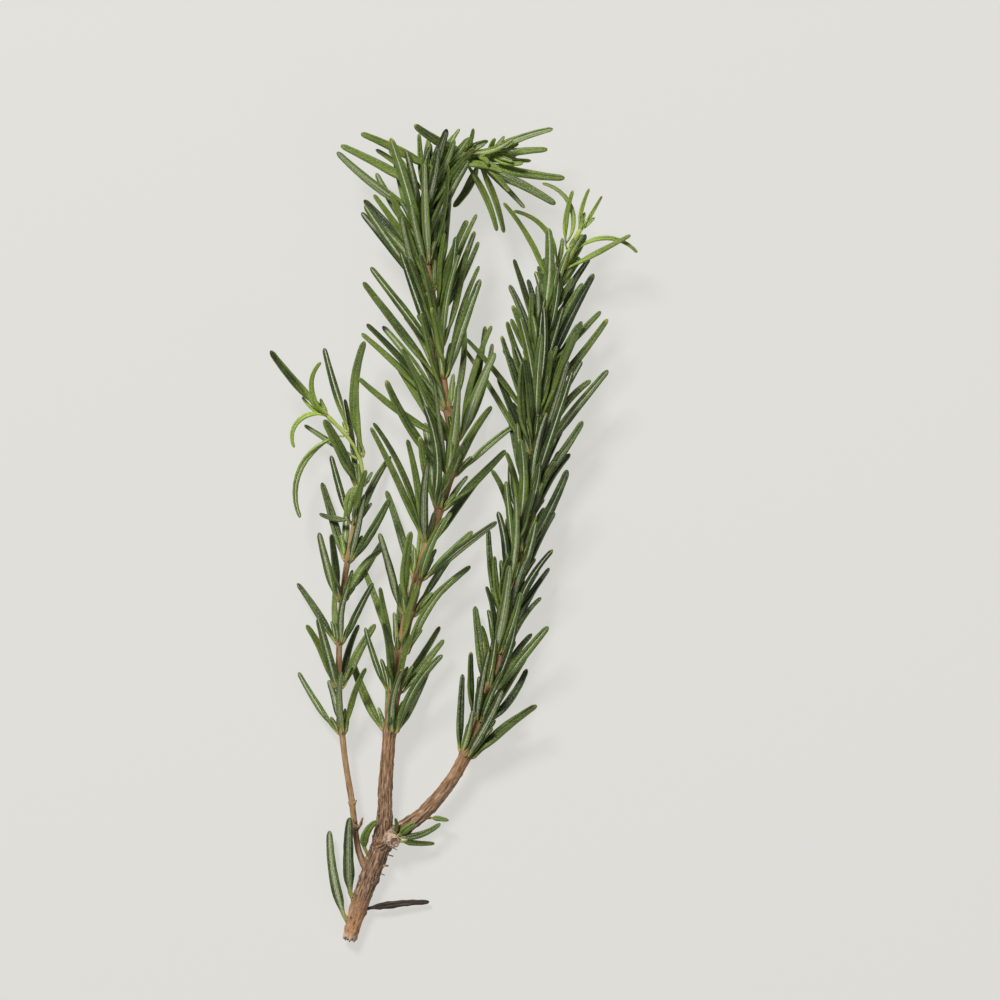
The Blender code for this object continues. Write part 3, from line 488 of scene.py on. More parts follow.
MAIN = Shoot(
    name="main",
    route=(
        (-21.4, -82.6, 2.0), (-19.4, -75.8, 2.3), (-16.6, -68.0, 2.7), (-14.5, -61.5, 3.2),
        (-13.9, -50.0, 4.2), (-12.6, -36.0, 5.8), (-9.6, -18.0, 7.4), (-5.2, -2.0, 8.4),
        (-0.4, 13.0, 8.9), (0.1, 18.4, 9.0), (-1.4, 25.2, 9.0), (-2.7, 34.4, 8.8),
        (-3.9, 44.8, 8.6), (-5.6, 54.8, 8.6), (-6.4, 63.4, 9.2), (-4.8, 70.6, 10.0),
        (-0.6, 75.2, 10.8), (6.2, 76.4, 11.2),
    ),
    radii=(
        (0.0, 1.4),
        (8.0, 1.75),
        (17.0, 2.0),
        (22.0, 1.95),
        (28.0, 1.45),
        (75.0, 1.05),
        (180.0, 0.6),
    ),
    first=44.0,
    whorl_count=23,
    tightening=1.45,
    leaf_counts=((0.0, 4.6), (1.0, 8.4)),
    lengths=(18.0, 21.5),
    tip_length=7.5,
    young=(9.0, 0.45),
    spread=0.92,
    edges=(-23.6, 22.4, 82.0),
    tones=(-0.05, 1.0),
    rough_bark=(18.0, 62.0),
    aims=MAIN_AIMS,
    axil_leaves=SmallLeaves(5, (10, 30), (0.18, 0.44)),
    bud_leaves=SmallLeaves(7, (8, 50), (0.35, 0.75)),
)
RIGHT = Shoot(
    name="right",
    route=(
        (-15.0, -63.2, 3.0), (-12.6, -61.4, 3.4), (-9.4, -59.2, 3.8), (-5.2, -55.8, 4.3),
        (0.4, -48.6, 5.0), (5.6, -37.0, 6.1), (9.8, -21.0, 7.3), (13.2, -4.0, 8.2),
        (15.6, 12.0, 8.6), (17.4, 28.0, 8.6), (18.6, 42.0, 8.8), (20.2, 49.4, 9.3),
        (22.4, 55.4, 10.0), (25.0, 60.4, 10.6),
    ),
    radii=((0.0, 1.6), (14.0, 1.35), (60.0, 1.05), (142.0, 0.65)),
    first=26.0,
    whorl_count=19,
    tightening=1.25,
    leaf_counts=((0.0, 4.8), (0.66, 10.0), (0.78, 8.0), (0.86, 3.0), (1.0, 2.0)),
    lengths=(17.5, 18.5),
    tip_length=7.0,
    young=(16.0, 1.0),
    spread=0.74,
    edges=(-14.0, 37.0, 57.0),
    # Darker than the other shoots: painted shade of this dense, deep cluster.
    tones=(-0.3, 0.6),
    rough_bark=(0.0, 40.0),
    aims=RIGHT_AIMS,
    axil_leaves=SmallLeaves(9, (6, 24), (0.2, 0.64)),
    bud_leaves=SmallLeaves(3, (4, 30), (0.35, 0.6)),
)
TWIG = Shoot(
    name="twig",
    route=(
        (-17.2, -69.2, 2.6), (-18.6, -66.9, 2.8), (-19.6, -64.0, 3.0), (-20.2, -59.6, 3.4),
        (-20.9, -54.0, 3.9), (-22.4, -44.0, 4.7), (-23.4, -30.0, 5.5), (-22.8, -14.0, 6.2),
        (-20.6, 0.0, 6.8), (-18.9, 9.6, 7.2), (-19.0, 15.0, 7.4), (-21.6, 19.6, 7.8),
        (-25.0, 23.2, 8.2),
    ),
    radii=((0.0, 0.65), (98.0, 0.6)),
    first=30.0,
    whorl_count=10,
    tightening=1.3,
    leaf_counts=((0.0, 3.6), (0.5, 4.4), (0.7, 3.0), (1.0, 1.0)),
    lengths=(15.0, 17.0),
    tip_length=7.0,
    young=(13.0, 1.0),
    spread=0.9,
    edges=(-37.0, -8.0, 39.2),
    tones=(-0.1, 0.9),
    rough_bark=(-40.0, 30.0),
    aims=TWIG_AIMS,
    axil_leaves=SmallLeaves(3, (12, 30), (0.18, 0.4)),
    bud_leaves=SmallLeaves(3, (4, 26), (0.25, 0.55)),
)
# The stub of a cut side branch, at the fork: its bark is rough all over.
KNOB = Shoot(
    name="knob",
    route=(
        (-13.2, -61.8, 3.0), (-12.15, -62.5, 6.5),
    ),
    radii=((0.0, 1.5), (3.7, 1.35)),
    first=3.15,
    whorl_count=1,
    tightening=1.0,
    leaf_counts=((0.0, 4.0), (1.0, 4.0)),
    lengths=(7.0, 7.0),
    tip_length=7.0,
    young=(1.0, 0.0),
    spread=1.0,
    edges=(-20.0, 0.0, -50.0),
    tones=(0.0, 0.6),
    rough_bark=(90.0, 99.0),
    aims=KNOB_AIMS,
    axil_leaves=SmallLeaves(0, (0, 0), (0.0, 0.0)),
    bud_leaves=None,
    ring=0.9,
)
SHOOTS = (MAIN, RIGHT, TWIG, KNOB)


# Leaves.


@dataclass
class Leaf:
    """A leaf's shape, and what its detailed mesh needs."""

    line: list  # LINE_STEPS + 1 points along its middle
    normals: list  # the way its upper face looks at each of them
    width: float
    youth: float = 0.0
    foot: Vector | None = None  # where it joins the stem, where the line starts short of it
    tone: float = 0.0  # how light it is
    opening: float = 0.0  # the share of the half-width that its rolled margins leave bare below
    paleness: float = 0.0  # how pale its underside is
    yellow_tip: float = 0.0
    dry_tip: float = 0.0
    dryness: float = 0.0
    crumple: float = 0.08


def leaf_line(start, chord, curl, width):
    """An arc over a chord, laid along the surface wherever the leaf would pass below it.  The arc
    turns about the curl vector, by as many radians in all as the vector is long."""
    floor = 0.5 * width * ASPECT + FLOOR_GAP
    half = 0.5 * curl.length
    arc = chord.length * (half / math.sin(half) if half > STRAIGHT else 1.0)
    step = arc / LINE_STEPS
    heading = chord.normalized()
    line = [start.copy()]
    for i in range(LINE_STEPS):
        turn = Quaternion(curl, curl.length * ((i + 0.5) / LINE_STEPS - 0.5))
        move = (turn @ heading) * step
        point = line[-1] + move
        if point.z < floor:
            drop = max(floor - line[-1].z, -step)
            flat = Vector((move.x, move.y, 0.0))
            flat.length = math.sqrt(max(step**2 - drop**2, 0.0))
            point = line[-1] + flat + Vector((0.0, 0.0, drop))
        line.append(point)
    return line


def bow_turn(bow, chord):
    """How far an arc turns, in radians, whose middle stands off its chord by the bow."""
    return 8 * bow / chord.length


def facing(up):
    """Straight up, or straight down."""
    return Vector((0.0, 0.0, 1.0 if up else -1.0))


def leaf_normals(line, stem_direction, outward, top_up, twist):
    """The upper face starts towards the stem, and turns up or down along the leaf."""
    normals = []
    for i in range(LINE_STEPS + 1):
        along = (line[min(i + 1, LINE_STEPS)] - line[max(i - 1, 0)]).normalized()
        inward = stem_direction * along.dot(outward) - outward * along.dot(stem_direction)
        inward = squared(inward, along)
        skyward = facing(top_up)
        skyward = skyward - along * skyward.dot(along)
        side = along.cross(inward)
        turn = math.atan2(skyward.dot(side), skyward.dot(inward))
        share = min(i / (0.5 * LINE_STEPS), 1.0)
        turn = turn * FACE_TWIST * share * share * (3 - 2 * share) + twist * i / LINE_STEPS
        normals.append(inward * math.cos(turn) + side * math.sin(turn))
    return normals


def side_faces(point_count, sides):
    """The faces that join rings of points, each ring to the next."""
    faces = []
    for start in range(0, point_count - sides, sides):
        for k in range(sides):
            near, far = start + k, start + (k + 1) % sides
            faces.append((near, far, far + sides, near + sides))
    return faces


def tube_shape(stations, sides):
    """The points and side faces of a tube through (centre, direction, radius) stations."""
    points = []
    for centre, direction, radius in stations:
        turns = [2 * math.pi * k / sides for k in range(sides)]
        points += [centre + outward_at(direction, turn) * radius for turn in turns]
    return points, side_faces(len(points), sides)


def leaf_shape(leaf, grow=0.0, first=0):
    """A leaf solid's points and faces: a loft through its rings from the first that is wanted,
    closed by a base and a tip, and grown by a distance."""
    points = []
    for index, wide, thick in LEAF_RINGS[first:]:
        centre = leaf.line[index]
        along = (leaf.line[index + 1] - leaf.line[max(index - 1, 0)]).normalized()
        normal = squared(leaf.normals[index], along)
        side = along.cross(normal)
        half_width = 0.5 * leaf.width * wide + grow
        half_thickness = 0.5 * leaf.width * ASPECT * thick + grow
        for u, v in SECTION:
            points.append(centre + side * (u * half_width) + normal * (v * half_thickness))
    count = len(SECTION)
    last, tip = len(points) - count, len(points)
    faces = [tuple(reversed(range(count))), *side_faces(len(points), count)]
    faces += [(last + i, last + (i + 1) % count, tip) for i in range(count)]
    end = leaf.line[LINE_STEPS]
    points.append(end + (end - leaf.line[LINE_STEPS - 1]).normalized() * grow)
    return points, faces


def ring_shape(whorl):
    """The ring round the stem that a whorl's leaf bases grow from, or the bud at a tip."""
    half = 0.5 * whorl.ring
    inner, outer = whorl.inner, whorl.inner + RING_WALL
    outline = ((-half, inner), (-half, outer), (half, outer), (half, inner))
    if whorl.is_bud:
        outline = BUD_OUTLINE
    count = len(outline)
    points = []
    faces = []
    for i in range(RING_SIDES):
        outward = outward_at(whorl.direction, 2 * math.pi * i / RING_SIDES)
        points += [whorl.centre + whorl.direction * a + outward * r for a, r in outline]
        here, there = i * count, ((i + 1) % RING_SIDES) * count
        for k in range(count - 1 if whorl.is_bud else count):
            after = (k + 1) % count
            faces.append((here + k, there + k, there + after, here + after))
    if whorl.is_bud:
        faces.append(tuple(reversed([i * count for i in range(RING_SIDES)])))
        faces.append(tuple(i * count + count - 1 for i in range(RING_SIDES)))
    return points, faces


def box_of(points):
    return [(min(values), max(values)) for values in zip(*points)]


def apart(box, other_box):
    return any(
        high < other_low or low > other_high
        for (low, high), (other_low, other_high) in zip(box, other_box)
    )


class Crowd:
    """The solids placed so far, which each new leaf stays clear of."""

    def __init__(self):
        self.placed = []

    def add(self, owner, points, faces):
        self.placed.append((owner, BVHTree.FromPolygons(points, faces), box_of(points)))

    def blocks(self, owner, leaf):
        """Whether a leaf comes too near another owner's solid, or crosses one of its own."""
        for first, own in ((0, False), (1, True)):
            points, faces = leaf_shape(leaf, LEAF_GAP, first)
            tree = BVHTree.FromPolygons(points, faces)
            box = box_of(points)
            for other, other_tree, other_box in self.placed:
                if (other == owner) != own or apart(box, other_box):
                    continue
                if tree.overlap(other_tree):
                    return True
        return False


def made_leaf(whorl, tip, bend, bow, width, top_up, twist):
    """A leaf from a whorl's ring to a tip.  It bends away from the stem, and bows to its left."""
    outward = squared(tip - whorl.centre, whorl.direction)
    start = whorl.centre + outward * whorl.leaf_start
    chord = tip - start
    curl = whorl.direction.cross(outward).normalized() * bend
    curl.z -= bow_turn(bow, chord)
    line = leaf_line(start, chord, curl, width)
    normals = leaf_normals(line, whorl.direction, outward, top_up, twist)
    return Leaf(line, normals, width, whorl.youth)


def aimed_leaf(whorl, aim, attempt, chance):
    """A leaf whose tip is given; later attempts move the tip a little."""
    stray = attempt / TRIES
    x = aim.x + chance.uniform(-stray, stray) * TIP_STRAY
    y = aim.y + chance.uniform(-stray, stray) * TIP_STRAY
    z = whorl.centre.z + aim.rise + chance.uniform(-stray, stray) * RISE_STRAY
    top_up = aim.face_up
    if top_up is None:
        top_up = chance.random() < UPPER_FACE_SHARES[0]
    return made_leaf(
        whorl,
        Vector((x, y, max(z, LOWEST_TIP))),
        math.radians(chance.uniform(*BENDS)) * (BOWED_BENDS if aim.bow else 1.0),
        aim.bow or chance.uniform(-BOW_SPREAD, BOW_SPREAD),
        aim.width,
        top_up,
        math.radians(chance.uniform(-TWIST_SPREAD, TWIST_SPREAD)),
    )


def filling_leaf(whorl, place, attempt, chance):
    """A leaf in one of a whorl's places; later attempts stray further from it."""
    stray = attempt / TRIES
    turn, angle, length = place
    turn = turn + chance.uniform(-1, 1) * (TURN_SPREAD + TURN_STRAY * stray)
    turn = math.radians(turn)
    angle = angle + chance.uniform(-1, 1) * (ANGLE_SPREAD + ANGLE_STRAY * stray)
    angle = math.radians(angle - RISING_PULL * max(0.0, math.sin(turn)))
    length = length * (1.0 - SHORTENING * stray) * chance.uniform(*LENGTH_SHARES)
    outward = outward_at(whorl.direction, turn)
    heading = whorl.direction * math.cos(angle) + outward * math.sin(angle)
    width = min(LEAF_WIDTH + LEAF_WIDENING * length, WIDEST_LEAF)
    return made_leaf(
        whorl,
        whorl.centre + outward * whorl.leaf_start + heading * length,
        math.radians(chance.uniform(*BENDS)),
        chance.uniform(-BOW_SPREAD, BOW_SPREAD),
        width * chance.uniform(*WIDTH_SHARES),
        chance.random() < UPPER_FACE_SHARES[math.sin(turn) > RISING_FROM],
        math.radians(chance.uniform(-TWIST_SPREAD, TWIST_SPREAD)),
    )


def places_in(whorl, chance):
    """The turn, angle and length of each place in a whorl, those of its two halves in turn."""
    return [
        (
            whorl.turn + half_turn + turn,
            whorl.spread * (angle + chance.uniform(-1, 1) * PLACE_SPREAD),
            whorl.length * length,
        )
        for turn, angle, length in PLACES
        for half_turn in (0, 180)
    ]


def likely_whorls(aim, whorls):
    """The whorls that an aimed leaf may grow from, the most natural first."""
    if aim.back is not None:
        return [whorls[-1 - aim.back]]

    def cost(whorl):
        reach = Vector((aim.x, aim.y, whorl.centre.z + aim.rise)) - whorl.centre
        angle = math.degrees(reach.angle(whorl.direction))
        return (
            ((angle - AIM_ANGLE * whorl.spread) / AIM_ANGLE_SLACK) ** 2
            + ((reach.length - whorl.length) / AIM_LENGTH_SLACK) ** 2
            + AIM_CROWDING * max(0, len(whorl.leaves) - PAIR)
        )

    return sorted(whorls, key=cost)[:AIM_CHOICES]


def lies_clear_of_floor(leaf):
    points, _ = leaf_shape(leaf)
    return min(point.z for point in points) >= 0.5 * FLOOR_GAP


def lies_within_edges(leaf, edges, short):
    """Whether a tip stays inside its shoot's outline, drawn in by a distance."""
    tip = leaf.line[LINE_STEPS]
    return edges[0] + short <= tip.x <= edges[1] - short and tip.y <= edges[2] - short


def lone_leaf(lone):
    """The shape of a leaf that stands alone on the bare wood."""
    start = Vector(lone.start)
    chord = Vector(lone.tip) - start
    curl = Vector((-chord.y, chord.x, 0.0)).normalized() * LONE_BEND
    curl.z -= bow_turn(lone.bow, chord)
    line = leaf_line(start, chord, curl, lone.width)
    return Leaf(line, [facing(lone.face_up)] * len(line), lone.width)


def grow_leaves():
    """Place every leaf: the lone ones, the aimed ones, and then the ones that fill the whorls."""
    chance = random.Random(SEED)
    crowd = Crowd()
    for shoot in SHOOTS:
        count = max(2, round(shoot.curve.length / STEM_STEP))
        distances = [shoot.curve.length * i / count for i in range(count + 1)]
        stations = [(*shoot.curve.at(place), shoot.radius_at(place)) for place in distances]
        crowd.add(f"stem_{shoot.name}", *tube_shape(stations, STEM_SIDES))
        for whorl in shoot.whorls:
            crowd.add(whorl.node, *ring_shape(whorl))
    lone = {node: lone_leaf(leaf) for node, leaf in LONE_LEAVES.items()}
    for node, leaf in lone.items():
        crowd.add(node, *leaf_shape(leaf))

    def place(whorl, maker, wish, edges):
        """Try a leaf in a whorl until it fits; whether it was placed."""
        for attempt in range(TRIES):
            leaf = maker(whorl, wish, attempt, chance)
            if edges and not lies_within_edges(leaf, edges, chance.uniform(0.0, EDGE_SOFTNESS)):
                continue
            if lies_clear_of_floor(leaf) and not crowd.blocks(whorl.node, leaf):
                crowd.add(whorl.node, *leaf_shape(leaf))
                whorl.leaves.append(leaf)
                return True
        return False

    for shoot in SHOOTS:
        for aim in shoot.aims:
            for whorl in likely_whorls(aim, shoot.whorls):
                if place(whorl, aimed_leaf, aim, None):
                    break
    for shoot in SHOOTS:
        for whorl in shoot.whorls:
            for wish in places_in(whorl, chance):
                if len(whorl.leaves) < whorl.wanted:
                    place(whorl, filling_leaf, wish, shoot.edges)
    return lone


# Detailed leaves.

# Where a leaf's outline rings lie: along its blade, and back from its tip in tip lengths.
BLADE_STATIONS = (0.0, 0.03, 0.07, 0.12, 0.18, 0.25, 0.33, 0.42, 0.51, 0.6, 0.69, 0.78, 0.87, 0.95)
TIP_STATIONS = (1.0, 0.78, 0.56, 0.37, 0.21, 0.09, 0.02)
FOOT_STATIONS = (-0.04, -0.02)
HEADING_REACH = 0.02  # how far on each side of a ring its heading is measured
BASE_WIDTH = 0.42
BASE_LENGTH = 0.24
TAPER = 0.42  # how much of its width a leaf loses between its widest place and its tip
TAPER_FROM = 0.3
TAPER_POWER = 1.5
TIP_LENGTH = 0.6  # how long the rounded tip is, in leaf widths
TIP_LENGTHS = (0.04, 0.25)
TIP_ROUNDNESS = 2.0

# Half of a leaf's upper face, from its middle to its margin: the share of the half-width, and of
# the half-thickness.  It has a groove over the midrib.
UPPER_HALF = ((0.1, 0.66), (0.26, 0.93), (0.5, 1.0), (0.74, 0.8), (0.93, 0.42))
UPPER_MIDDLE = 0.5
GROOVE_REACH = 0.26
GROOVE_CHANGE = 0.4
UNDER_MIDDLE = -0.54

# What each part of a leaf's outline is, as its materials read it.
UPPER_FACE, MARGIN, ROLL, FELT, MIDRIB = 0.0, 0.5, 1.0, 2.0, 3.0

# How leaves vary: how deep the groove is, how thick the rolled margins and the whole leaf are, and
# the share of the half-width that the margins leave bare below.  Most leaves are nearly closed
# there, and those show the palest line.
GROOVES = (0.5, 1.3)
ROLLS = (0.8, 1.2)
FULLNESSES = (0.9, 1.12)
OPENINGS = (0.19, 0.7)

# The noise that crumples leaves: how widely leaves are strewn in it, how often it repeats along a
# leaf, across it and from part to part, and how much finer its lifts are than its waves.
NOISE_SPAN = 90.0
NOISE_STEPS = (11.0, 0.9, 1.5)
LIFT_FINENESS = 2.3

# Each leaf's strip on the baking map: how much of its share of the map's width it fills, where it
# starts, and how long it is.
STRIP_WIDTH = 0.92
STRIP_START, STRIP_LENGTH = 0.02, 0.96

# A young leaf turns green from its tip: the share of its youth that it has lost there, and where
# along it that begins and ends.  A leaf is grown between these widths, and on a grown leaf of a
# young shoot the pallor fades from its base.
GREENING = 0.55
GREENING_REACH = (0.1, 0.8)
GROWN_WIDTHS = (1.2, 1.8)
GROWN_PALLOR = 0.75
GROWN_PALLOR_REACH = (0.05, 0.6)

YELLOW_TIPS = 0.3  # the share of leaves with a yellow tip

# Where the tips lie that have dried back, and how near a leaf's tip has to be to be one of them.
DRIED_BACK = ((-1.2, 81.4), (-14.5, 42.0))
DRIED_REACH = 1.2

# The small young leaves.
GOLDEN_TURN = 137.5
SMALL_TURN_SPREAD = 15
SMALL_START = 0.7  # where they leave the stem, against the others
SMALL_WIDTH = 0.7
SMALL_WIDENING = 0.07
SMALL_BEND = 0.25
AXIL_YOUTH = 0.3

# Where leaves join the stem: how far out, how far below their whorl's middle, and how far before
# its start a leaf on bare wood does so.
FOOT_SHARE = 0.45
FOOT_DROP = 0.7
FOOT_LEAD = 1.6

# How the leaves on bare wood differ from the others in looks.
LONE_LOOKS = {
    "base_leaf_lower": {"tone": 0.25, "opening": 0.46, "paleness": 0.5, "crumple": 0.14},
    "base_leaf_upper": {"tone": 0.0, "opening": 0.5, "paleness": 0.1, "crumple": 0.14},
    "dried_leaf": {"dryness": 1.0, "crumple": 0.3},
    "curled_leaf": {"tone": 0.5, "yellow_tip": 0.6, "crumple": 0.16},
    "far_leaf": {"tone": 0.7},
}


def new_object(name, data):
    made = bpy.data.objects.new(name, data)
    bpy.context.scene.collection.objects.link(made)
    return made


def add_piece(name, mesh, finish, node):
    """A piece of the sprig that is shown in place of a CAD node."""
    mesh.polygons.foreach_set("use_smooth", [True] * len(mesh.polygons))
    mesh.materials.clear()
    mesh.materials.append(finish)
    piece = new_object(name, mesh)
    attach(piece, "root")
    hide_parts(node)


def mesh_of(name, points, faces):
    mesh = bpy.data.meshes.new(name)
    mesh.from_pydata([(point - CENTRE) * METRES for point in points], [], faces)
    return mesh


def add_readings(mesh, readings):
    """Store what the materials read at each point: three numbers under each name."""
    for name, rows in readings.items():
        stored = mesh.attributes.new(name, "FLOAT_VECTOR", "POINT")
        stored.data.foreach_set("vector", [number for row in rows for number in row])


def section_points(groove, roll, opening):
    """A leaf's closed cross-section as (across, height, part), from its right margin over the
    upper face to the left margin, and back along the underside: the rolled margin, the felted
    hollow, and the midrib in its middle."""
    depth = GROOVE_CHANGE * (groove - 1.0)
    upper = [(u, v - depth * max(0.0, 1.0 - u / GROOVE_REACH), UPPER_FACE) for u, v in UPPER_HALF]
    under = (
        (0.96, -0.42, ROLL),
        (0.84, -0.74 * roll, ROLL),
        (opening + 0.16, -0.78 * roll, ROLL),
        (opening + 0.03, -0.6 * roll, ROLL),
        (opening - 0.05, -0.28, FELT),
        (0.11, -0.22, FELT),
        (0.07, -0.4, MIDRIB),
    )
    return [
        (1.0, 0.0, MARGIN),
        *reversed(upper),
        (0.0, UPPER_MIDDLE - depth, UPPER_FACE),
        *((-u, v, part) for u, v, part in upper),
        (-1.0, 0.0, MARGIN),
        *((-u, v, part) for u, v, part in under),
        (0.0, UNDER_MIDDLE, MIDRIB),
        *reversed(under),
    ]


def curve_at(points, share):
    """A point on a smooth curve through evenly spaced points."""
    last = len(points) - 1
    place = min(max(share, 0.0), 1.0) * last
    i = min(int(place), last - 1)
    start, end = points[i], points[i + 1]
    before = points[i - 1] if i > 0 else 2 * start - end
    after = points[i + 2] if i + 2 <= last else 2 * end - start
    return spline(before, start, end, after, place - i)


def tip_share_of(leaf):
    """How much of a leaf's length is its rounded tip."""
    length = sum((end - start).length for start, end in zip(leaf.line, leaf.line[1:]))
    return min(max(TIP_LENGTH * leaf.width / length, TIP_LENGTHS[0]), TIP_LENGTHS[1])


def width_at(along, tip_share):
    """A leaf's width along it: a narrow base, nearly parallel sides and a blunt tip."""
    base = mixed(BASE_WIDTH, 1.0, smoothstep(0.0, BASE_LENGTH, along))
    past = max(0.0, along - TAPER_FROM) / (1.0 - TAPER_FROM)
    body = base * (1.0 - TAPER * past**TAPER_POWER)
    into_tip = max(0.0, (along - (1.0 - tip_share)) / tip_share)
    return body * math.sqrt(max(1.0 - into_tip**TIP_ROUNDNESS, 0.0))


def youth_along(leaf, along):
    """How young a leaf looks at a place along it."""
    grown = smoothstep(*GROWN_WIDTHS, leaf.width)
    at_base = 1.0 - smoothstep(*GROWN_PALLOR_REACH, along)
    turned = 1.0 - GREENING * smoothstep(*GREENING_REACH, along)
    return leaf.youth * mixed(turned, GROWN_PALLOR * at_base, grown)


def leaf_frames(leaf, tip_share):
    """(along, centre, normal, heading) at each outline ring, with its foot first."""
    stations = [station * (1.0 - tip_share) for station in BLADE_STATIONS]
    stations += [1.0 - tip_share * back for back in TIP_STATIONS]
    frames = []
    for along in stations:
        ahead = curve_at(leaf.line, along + HEADING_REACH)
        heading = (ahead - curve_at(leaf.line, along - HEADING_REACH)).normalized()
        normal = squared(curve_at(leaf.normals, along), heading)
        frames.append((along, curve_at(leaf.line, along), normal, heading))
    if leaf.foot is None:
        return frames
    _, first, normal, _ = frames[0]
    heading = (first - leaf.foot).normalized()
    normal = squared(normal, heading)
    centres = (leaf.foot, leaf.foot.lerp(first, 0.5))
    feet = [(along, centre, normal, heading) for along, centre in zip(FOOT_STATIONS, centres)]
    return feet + frames


class LeafMesh:
    """Collects leaves into one mesh, with what the materials read and a map for baking."""

    def __init__(self, leaf_count):
        self.leaf_count = leaf_count
        self.leaves_made = 0
        self.points = []
        self.readings = {"leaf_place": [], "leaf_kind": [], "leaf_tip": []}
        self.faces = []
        self.corners = []

    def add_point(self, point, *readings):
        self.points.append(point)
        for rows, reading in zip(self.readings.values(), readings):
            rows.append(reading)

    def add(self, leaf, chance):
        """One leaf: outline rings joined by faces, closed at its foot and its tip."""
        section = section_points(chance.uniform(*GROOVES), chance.uniform(*ROLLS), leaf.opening)
        fullness = chance.uniform(*FULLNESSES)
        away = Vector([chance.uniform(0.0, NOISE_SPAN) for _ in range(3)])
        tip = (leaf.yellow_tip, leaf.dry_tip, leaf.paleness)
        tip_share = tip_share_of(leaf)
        frames = leaf_frames(leaf, tip_share)
        first = len(self.points)
        for along, centre, normal, heading in frames:
            side = heading.cross(normal)
            wide = width_at(max(along, 0.0), tip_share)
            half_width = 0.5 * leaf.width * wide
            half_thickness = 0.5 * leaf.width * ASPECT * fullness * math.sqrt(wide)
            kind = (leaf.tone, youth_along(leaf, along), leaf.dryness)
            for u, v, part in section:
                steps = zip(NOISE_STEPS, (along, u, part))
                here = away + Vector([step * place for step, place in steps])
                wave = 1.0 + leaf.crumple * noise.noise(here)
                lift = leaf.crumple * noise.noise(here * LIFT_FINENESS)
                point = centre + side * (u * half_width * wave)
                point += normal * ((v + lift) * half_thickness)
                self.add_point(point, (along, u, part), kind, tip)
        self.join(first, len(frames), len(section))
        self.close(first, 0, len(frames), len(section))
        self.close(first, len(frames) - 1, len(frames), len(section))
        self.leaves_made += 1

    def corner(self, ring, k, rings, count):
        """A corner's place on the baking map, where each leaf has a strip of its own."""
        margin = 0.5 * (1.0 - STRIP_WIDTH)
        across = (self.leaves_made + margin + STRIP_WIDTH * k / count) / self.leaf_count
        return (STRIP_START + STRIP_LENGTH * (ring + 1) / (rings + 1), across)

    def join(self, first, rings, count):
        for ring in range(rings - 1):
            for k in range(count):
                near, far = first + ring * count + k, first + ring * count + (k + 1) % count
                self.faces.append((near, near + count, far + count, far))
                steps = ((0, 0), (1, 0), (1, 1), (0, 1))
                self.corners += [self.corner(ring + i, k + j, rings, count) for i, j in steps]

    def close(self, first, ring, rings, count):
        """A fan of faces over the first or the last outline ring."""
        start = first + ring * count
        at_foot = ring == 0
        tip = len(self.points)
        middle = sum(self.points[start : start + count], Vector()) / count
        _, kinds, tips = self.readings.values()
        self.add_point(middle, (0.0 if at_foot else 1.0, 0.0, MARGIN), kinds[start], tips[start])
        outside = ring - 1 if at_foot else ring + 1
        for k in range(count):
            ends = (k, k + 1) if at_foot else (k + 1, k)
            self.faces.append((start + ends[0] % count, start + ends[1] % count, tip))
            self.corners += [self.corner(ring, end, rings, count) for end in ends]
            self.corners.append(self.corner(outside, k + 0.5, rings, count))

    def finished(self, name):
        mesh = mesh_of(name, self.points, self.faces)
        add_readings(mesh, self.readings)
        baking = mesh.uv_layers.new(name="OFBake")
        baking.data.foreach_set("uv", [number for corner in self.corners for number in corner])
        return mesh


def dressed(leaf, tones, chance, **looks):
    """A leaf with the looks that it is given, and with others drawn for it."""
    tip = leaf.line[-1]
    dried_back = any((tip.xy - Vector(place)).length < DRIED_REACH for place in DRIED_BACK)
    openness = chance.random() ** 2
    drawn = {
        "tone": chance.uniform(*tones),
        "paleness": 1.0 - openness,
        "opening": mixed(*OPENINGS, openness),
        "yellow_tip": chance.random() if chance.random() < YELLOW_TIPS else 0.0,
        "dry_tip": 1.0 if dried_back else 0.0,
    }
    return replace(leaf, **{**drawn, **looks})


def foot_of(whorl, leaf):
    """Where a leaf joins its stem, a little below the whorl's middle; none on a bud."""
    if whorl.is_bud:
        return None
    reach = leaf.line[0] - whorl.centre
    return whorl.centre + reach * FOOT_SHARE - whorl.direction * FOOT_DROP


def small_leaf(whorl, turn, angle, length):
    """A young leaf that stands close to the stem, its upper face inwards."""
    outward = outward_at(whorl.direction, turn)
    start = whorl.centre + outward * whorl.leaf_start * SMALL_START
    heading = whorl.direction * math.cos(angle) + outward * math.sin(angle)
    width = SMALL_WIDTH + SMALL_WIDENING * length
    curl = whorl.direction.cross(outward).normalized() * SMALL_BEND
    line = leaf_line(start, heading * length, curl, width)
    normals = leaf_normals(line, whorl.direction, outward, False, 0.0)
    return Leaf(line, normals, width, max(whorl.youth, AXIL_YOUTH))


def small_leaves(shoot, whorl, chance):
    """The small leaves that crowd a whorl's axils, fewer on young wood, or those of a bud."""
    count, angles, lengths = shoot.bud_leaves if whorl.is_bud else shoot.axil_leaves
    if not whorl.is_bud:
        count = round(count * (1.0 - whorl.youth))
    for i in range(count):
        spread = chance.uniform(-SMALL_TURN_SPREAD, SMALL_TURN_SPREAD)
        turn = math.radians(whorl.turn + GOLDEN_TURN * i + spread)
        angle = math.radians(mixed(*angles, (i + chance.random()) / count))
        yield small_leaf(whorl, turn, angle, whorl.length * chance.uniform(*lengths))


def build_leaves(name, leaves, finish, chance, node):
    shape = LeafMesh(len(leaves))
    for leaf in leaves:
        shape.add(leaf, chance)
    add_piece(name, shape.finished(name), finish, node)


